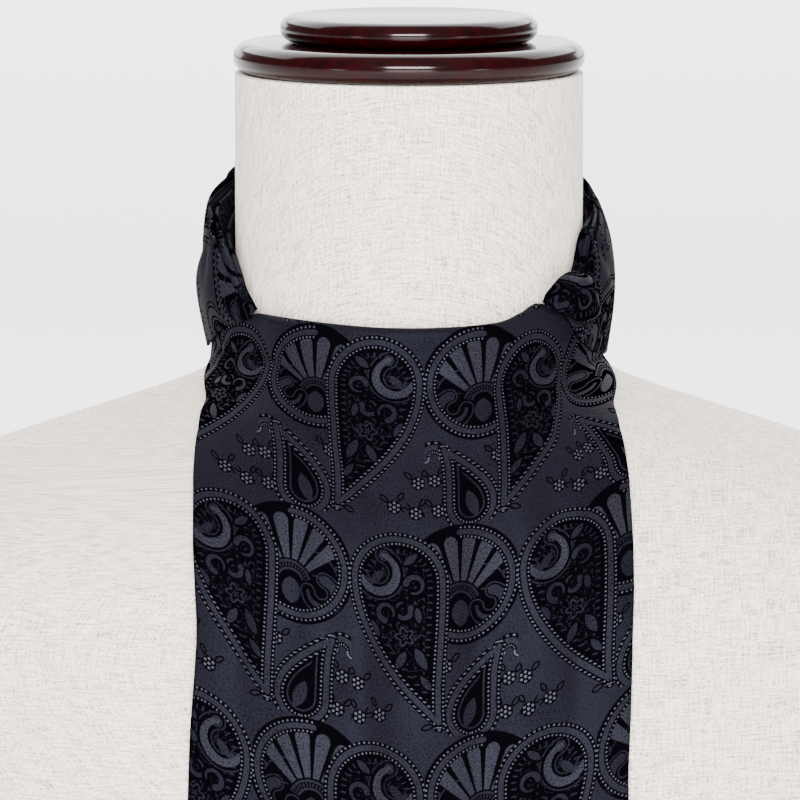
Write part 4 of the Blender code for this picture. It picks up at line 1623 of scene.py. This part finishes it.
# %% Place the creases
BAND_CREASES = (
    (-108, 0.62, -96, 0.86, 1.5, 3.2),
    (-100, 0.92, -84, 0.70, 1.3, 3.0),
    (-88, 0.55, -78, 0.82, 1.1, 2.6),
    (-122, 0.70, -112, 0.92, -0.9, 3.4),
    (-150, 0.66, -132, 0.90, 1.0, 4.0),
    (-185, 0.60, -170, 0.86, 0.8, 4.5),
    (-222, 0.86, -204, 0.62, 0.9, 4.2),
    (-250, 0.62, -238, 0.90, 1.2, 3.4),
    (-272, 0.90, -258, 0.66, 1.4, 3.0),
    (-286, 0.62, -276, 0.88, 1.1, 2.6),
)
WRAP_CREASES = (
    (44, 0.80, 60, 0.48, 0.9, 2.0),
    (47, 0.98, 62, 0.74, 0.7, 1.6),
    (50, 0.30, 62, 0.14, 0.6, 1.6),
)
FRONT_CREASES = (
    (-0.95, 456, -0.55, 404, 1.6, 3.6),
    (-0.80, 453, -0.62, 420, 1.0, 2.6),
    (-0.56, 448, -0.30, 410, 1.2, 4.5),
    (0.96, 452, 0.66, 398, 1.5, 4.0),
    (0.80, 452, 0.50, 418, 1.2, 3.2),
    (0.58, 449, 0.34, 424, 0.8, 3.0),
    (0.10, 446, 0.02, 404, 1.1, 6.0),
    (-0.90, 400, -0.80, 318, 1.6, 5.0),
    (-0.46, 424, -0.62, 336, 1.7, 6.5),
    (0.88, 396, 0.76, 306, 1.8, 5.4),
    (0.40, 408, 0.52, 330, 1.4, 6.0),
    (-0.24, 352, -0.08, 246, 1.7, 8.0),
    (0.46, 306, 0.26, 186, 1.9, 8.5),
    (-0.56, 256, -0.42, 158, 1.5, 7.0),
    (0.80, 248, 0.70, 164, 1.2, 5.5),
)
print("creases:", len(BAND_CREASES) + len(WRAP_CREASES) + len(FRONT_CREASES))

# %% [markdown]
# The four sheets overlap as they do when the cravat is tied: the under blade lies on the linen,
# the front blade over it, the band round the neck over the front blade's folded top, and the
# puff over the band's right end.

# %% Lay the sheets
BAND_STRETCH = (1.2, 70.0)  # mm for a degree along and for the whole section across
WRAP_STRETCH = (1.2, 30.0)


def band_points(along, across):
    tables = (BAND_COLUMNS, BAND_GAPS, BAND_HEIGHTS)
    return wound_points(tables, BAND_WALL, BAND_CREASES, BAND_STRETCH, along, across)


def wrap_points(along, across):
    tables = (WRAP_COLUMNS, WRAP_GAPS, WRAP_HEIGHTS)
    return wound_points(tables, WALL, WRAP_CREASES, WRAP_STRETCH, along, across)


neckband = lay_sheet("neckband", "neck_band", band_points, (240, 96), BAND_WALL,
                     wound_threads, 0.5, (0.02, 0.03))
wrap = lay_sheet("wrap", "throat_wrap", wrap_points, (120, 32), WALL,
                 wound_threads, 0.5, (-0.012, 0.034))
under = lay_sheet("blade_under", "under_blade", under_points, (56, 120), WALL,
                  hanging_threads, 0.0, (0.0, -0.01))
front = lay_sheet("blade_front", "front_blade", front_points, (144, 280), WALL,
                  hanging_threads, FOLD_SHARE, (0.0, 0.0))

# %% [markdown]
# ## How each sheet was cut
# Cloth hardly stretches, so the area that each sheet prints as it is laid is the size it was cut
# to. The blades are rectangles with a pointed end, so their area is less than their width times
# their length.

# %% [markdown]
# ## The floor
# A plain pale floor lets the form cast a soft shadow. It isn't part of the object.

# %% Lay the floor
FLOOR_HALF = 40.0
FLOOR_COLOUR = (0.88, 0.88, 0.88, 1.0)
FLOOR_ROUGHNESS = 0.9

ground = bmesh.new()
bmesh.ops.create_grid(ground, x_segments=1, y_segments=1, size=FLOOR_HALF)
floor_mesh = bpy.data.meshes.new("floor")
ground.to_mesh(floor_mesh)
ground.free()
floor = bpy.data.objects.new("floor", floor_mesh)
bpy.context.scene.collection.objects.link(floor)
paint, _, floor_shader = new_finish("floor_paint")
floor_shader.inputs["Base Color"].default_value = FLOOR_COLOUR
floor_shader.inputs["Roughness"].default_value = FLOOR_ROUGHNESS
floor_mesh.materials.append(paint)
print("the floor is", 2 * FLOOR_HALF, "m wide")
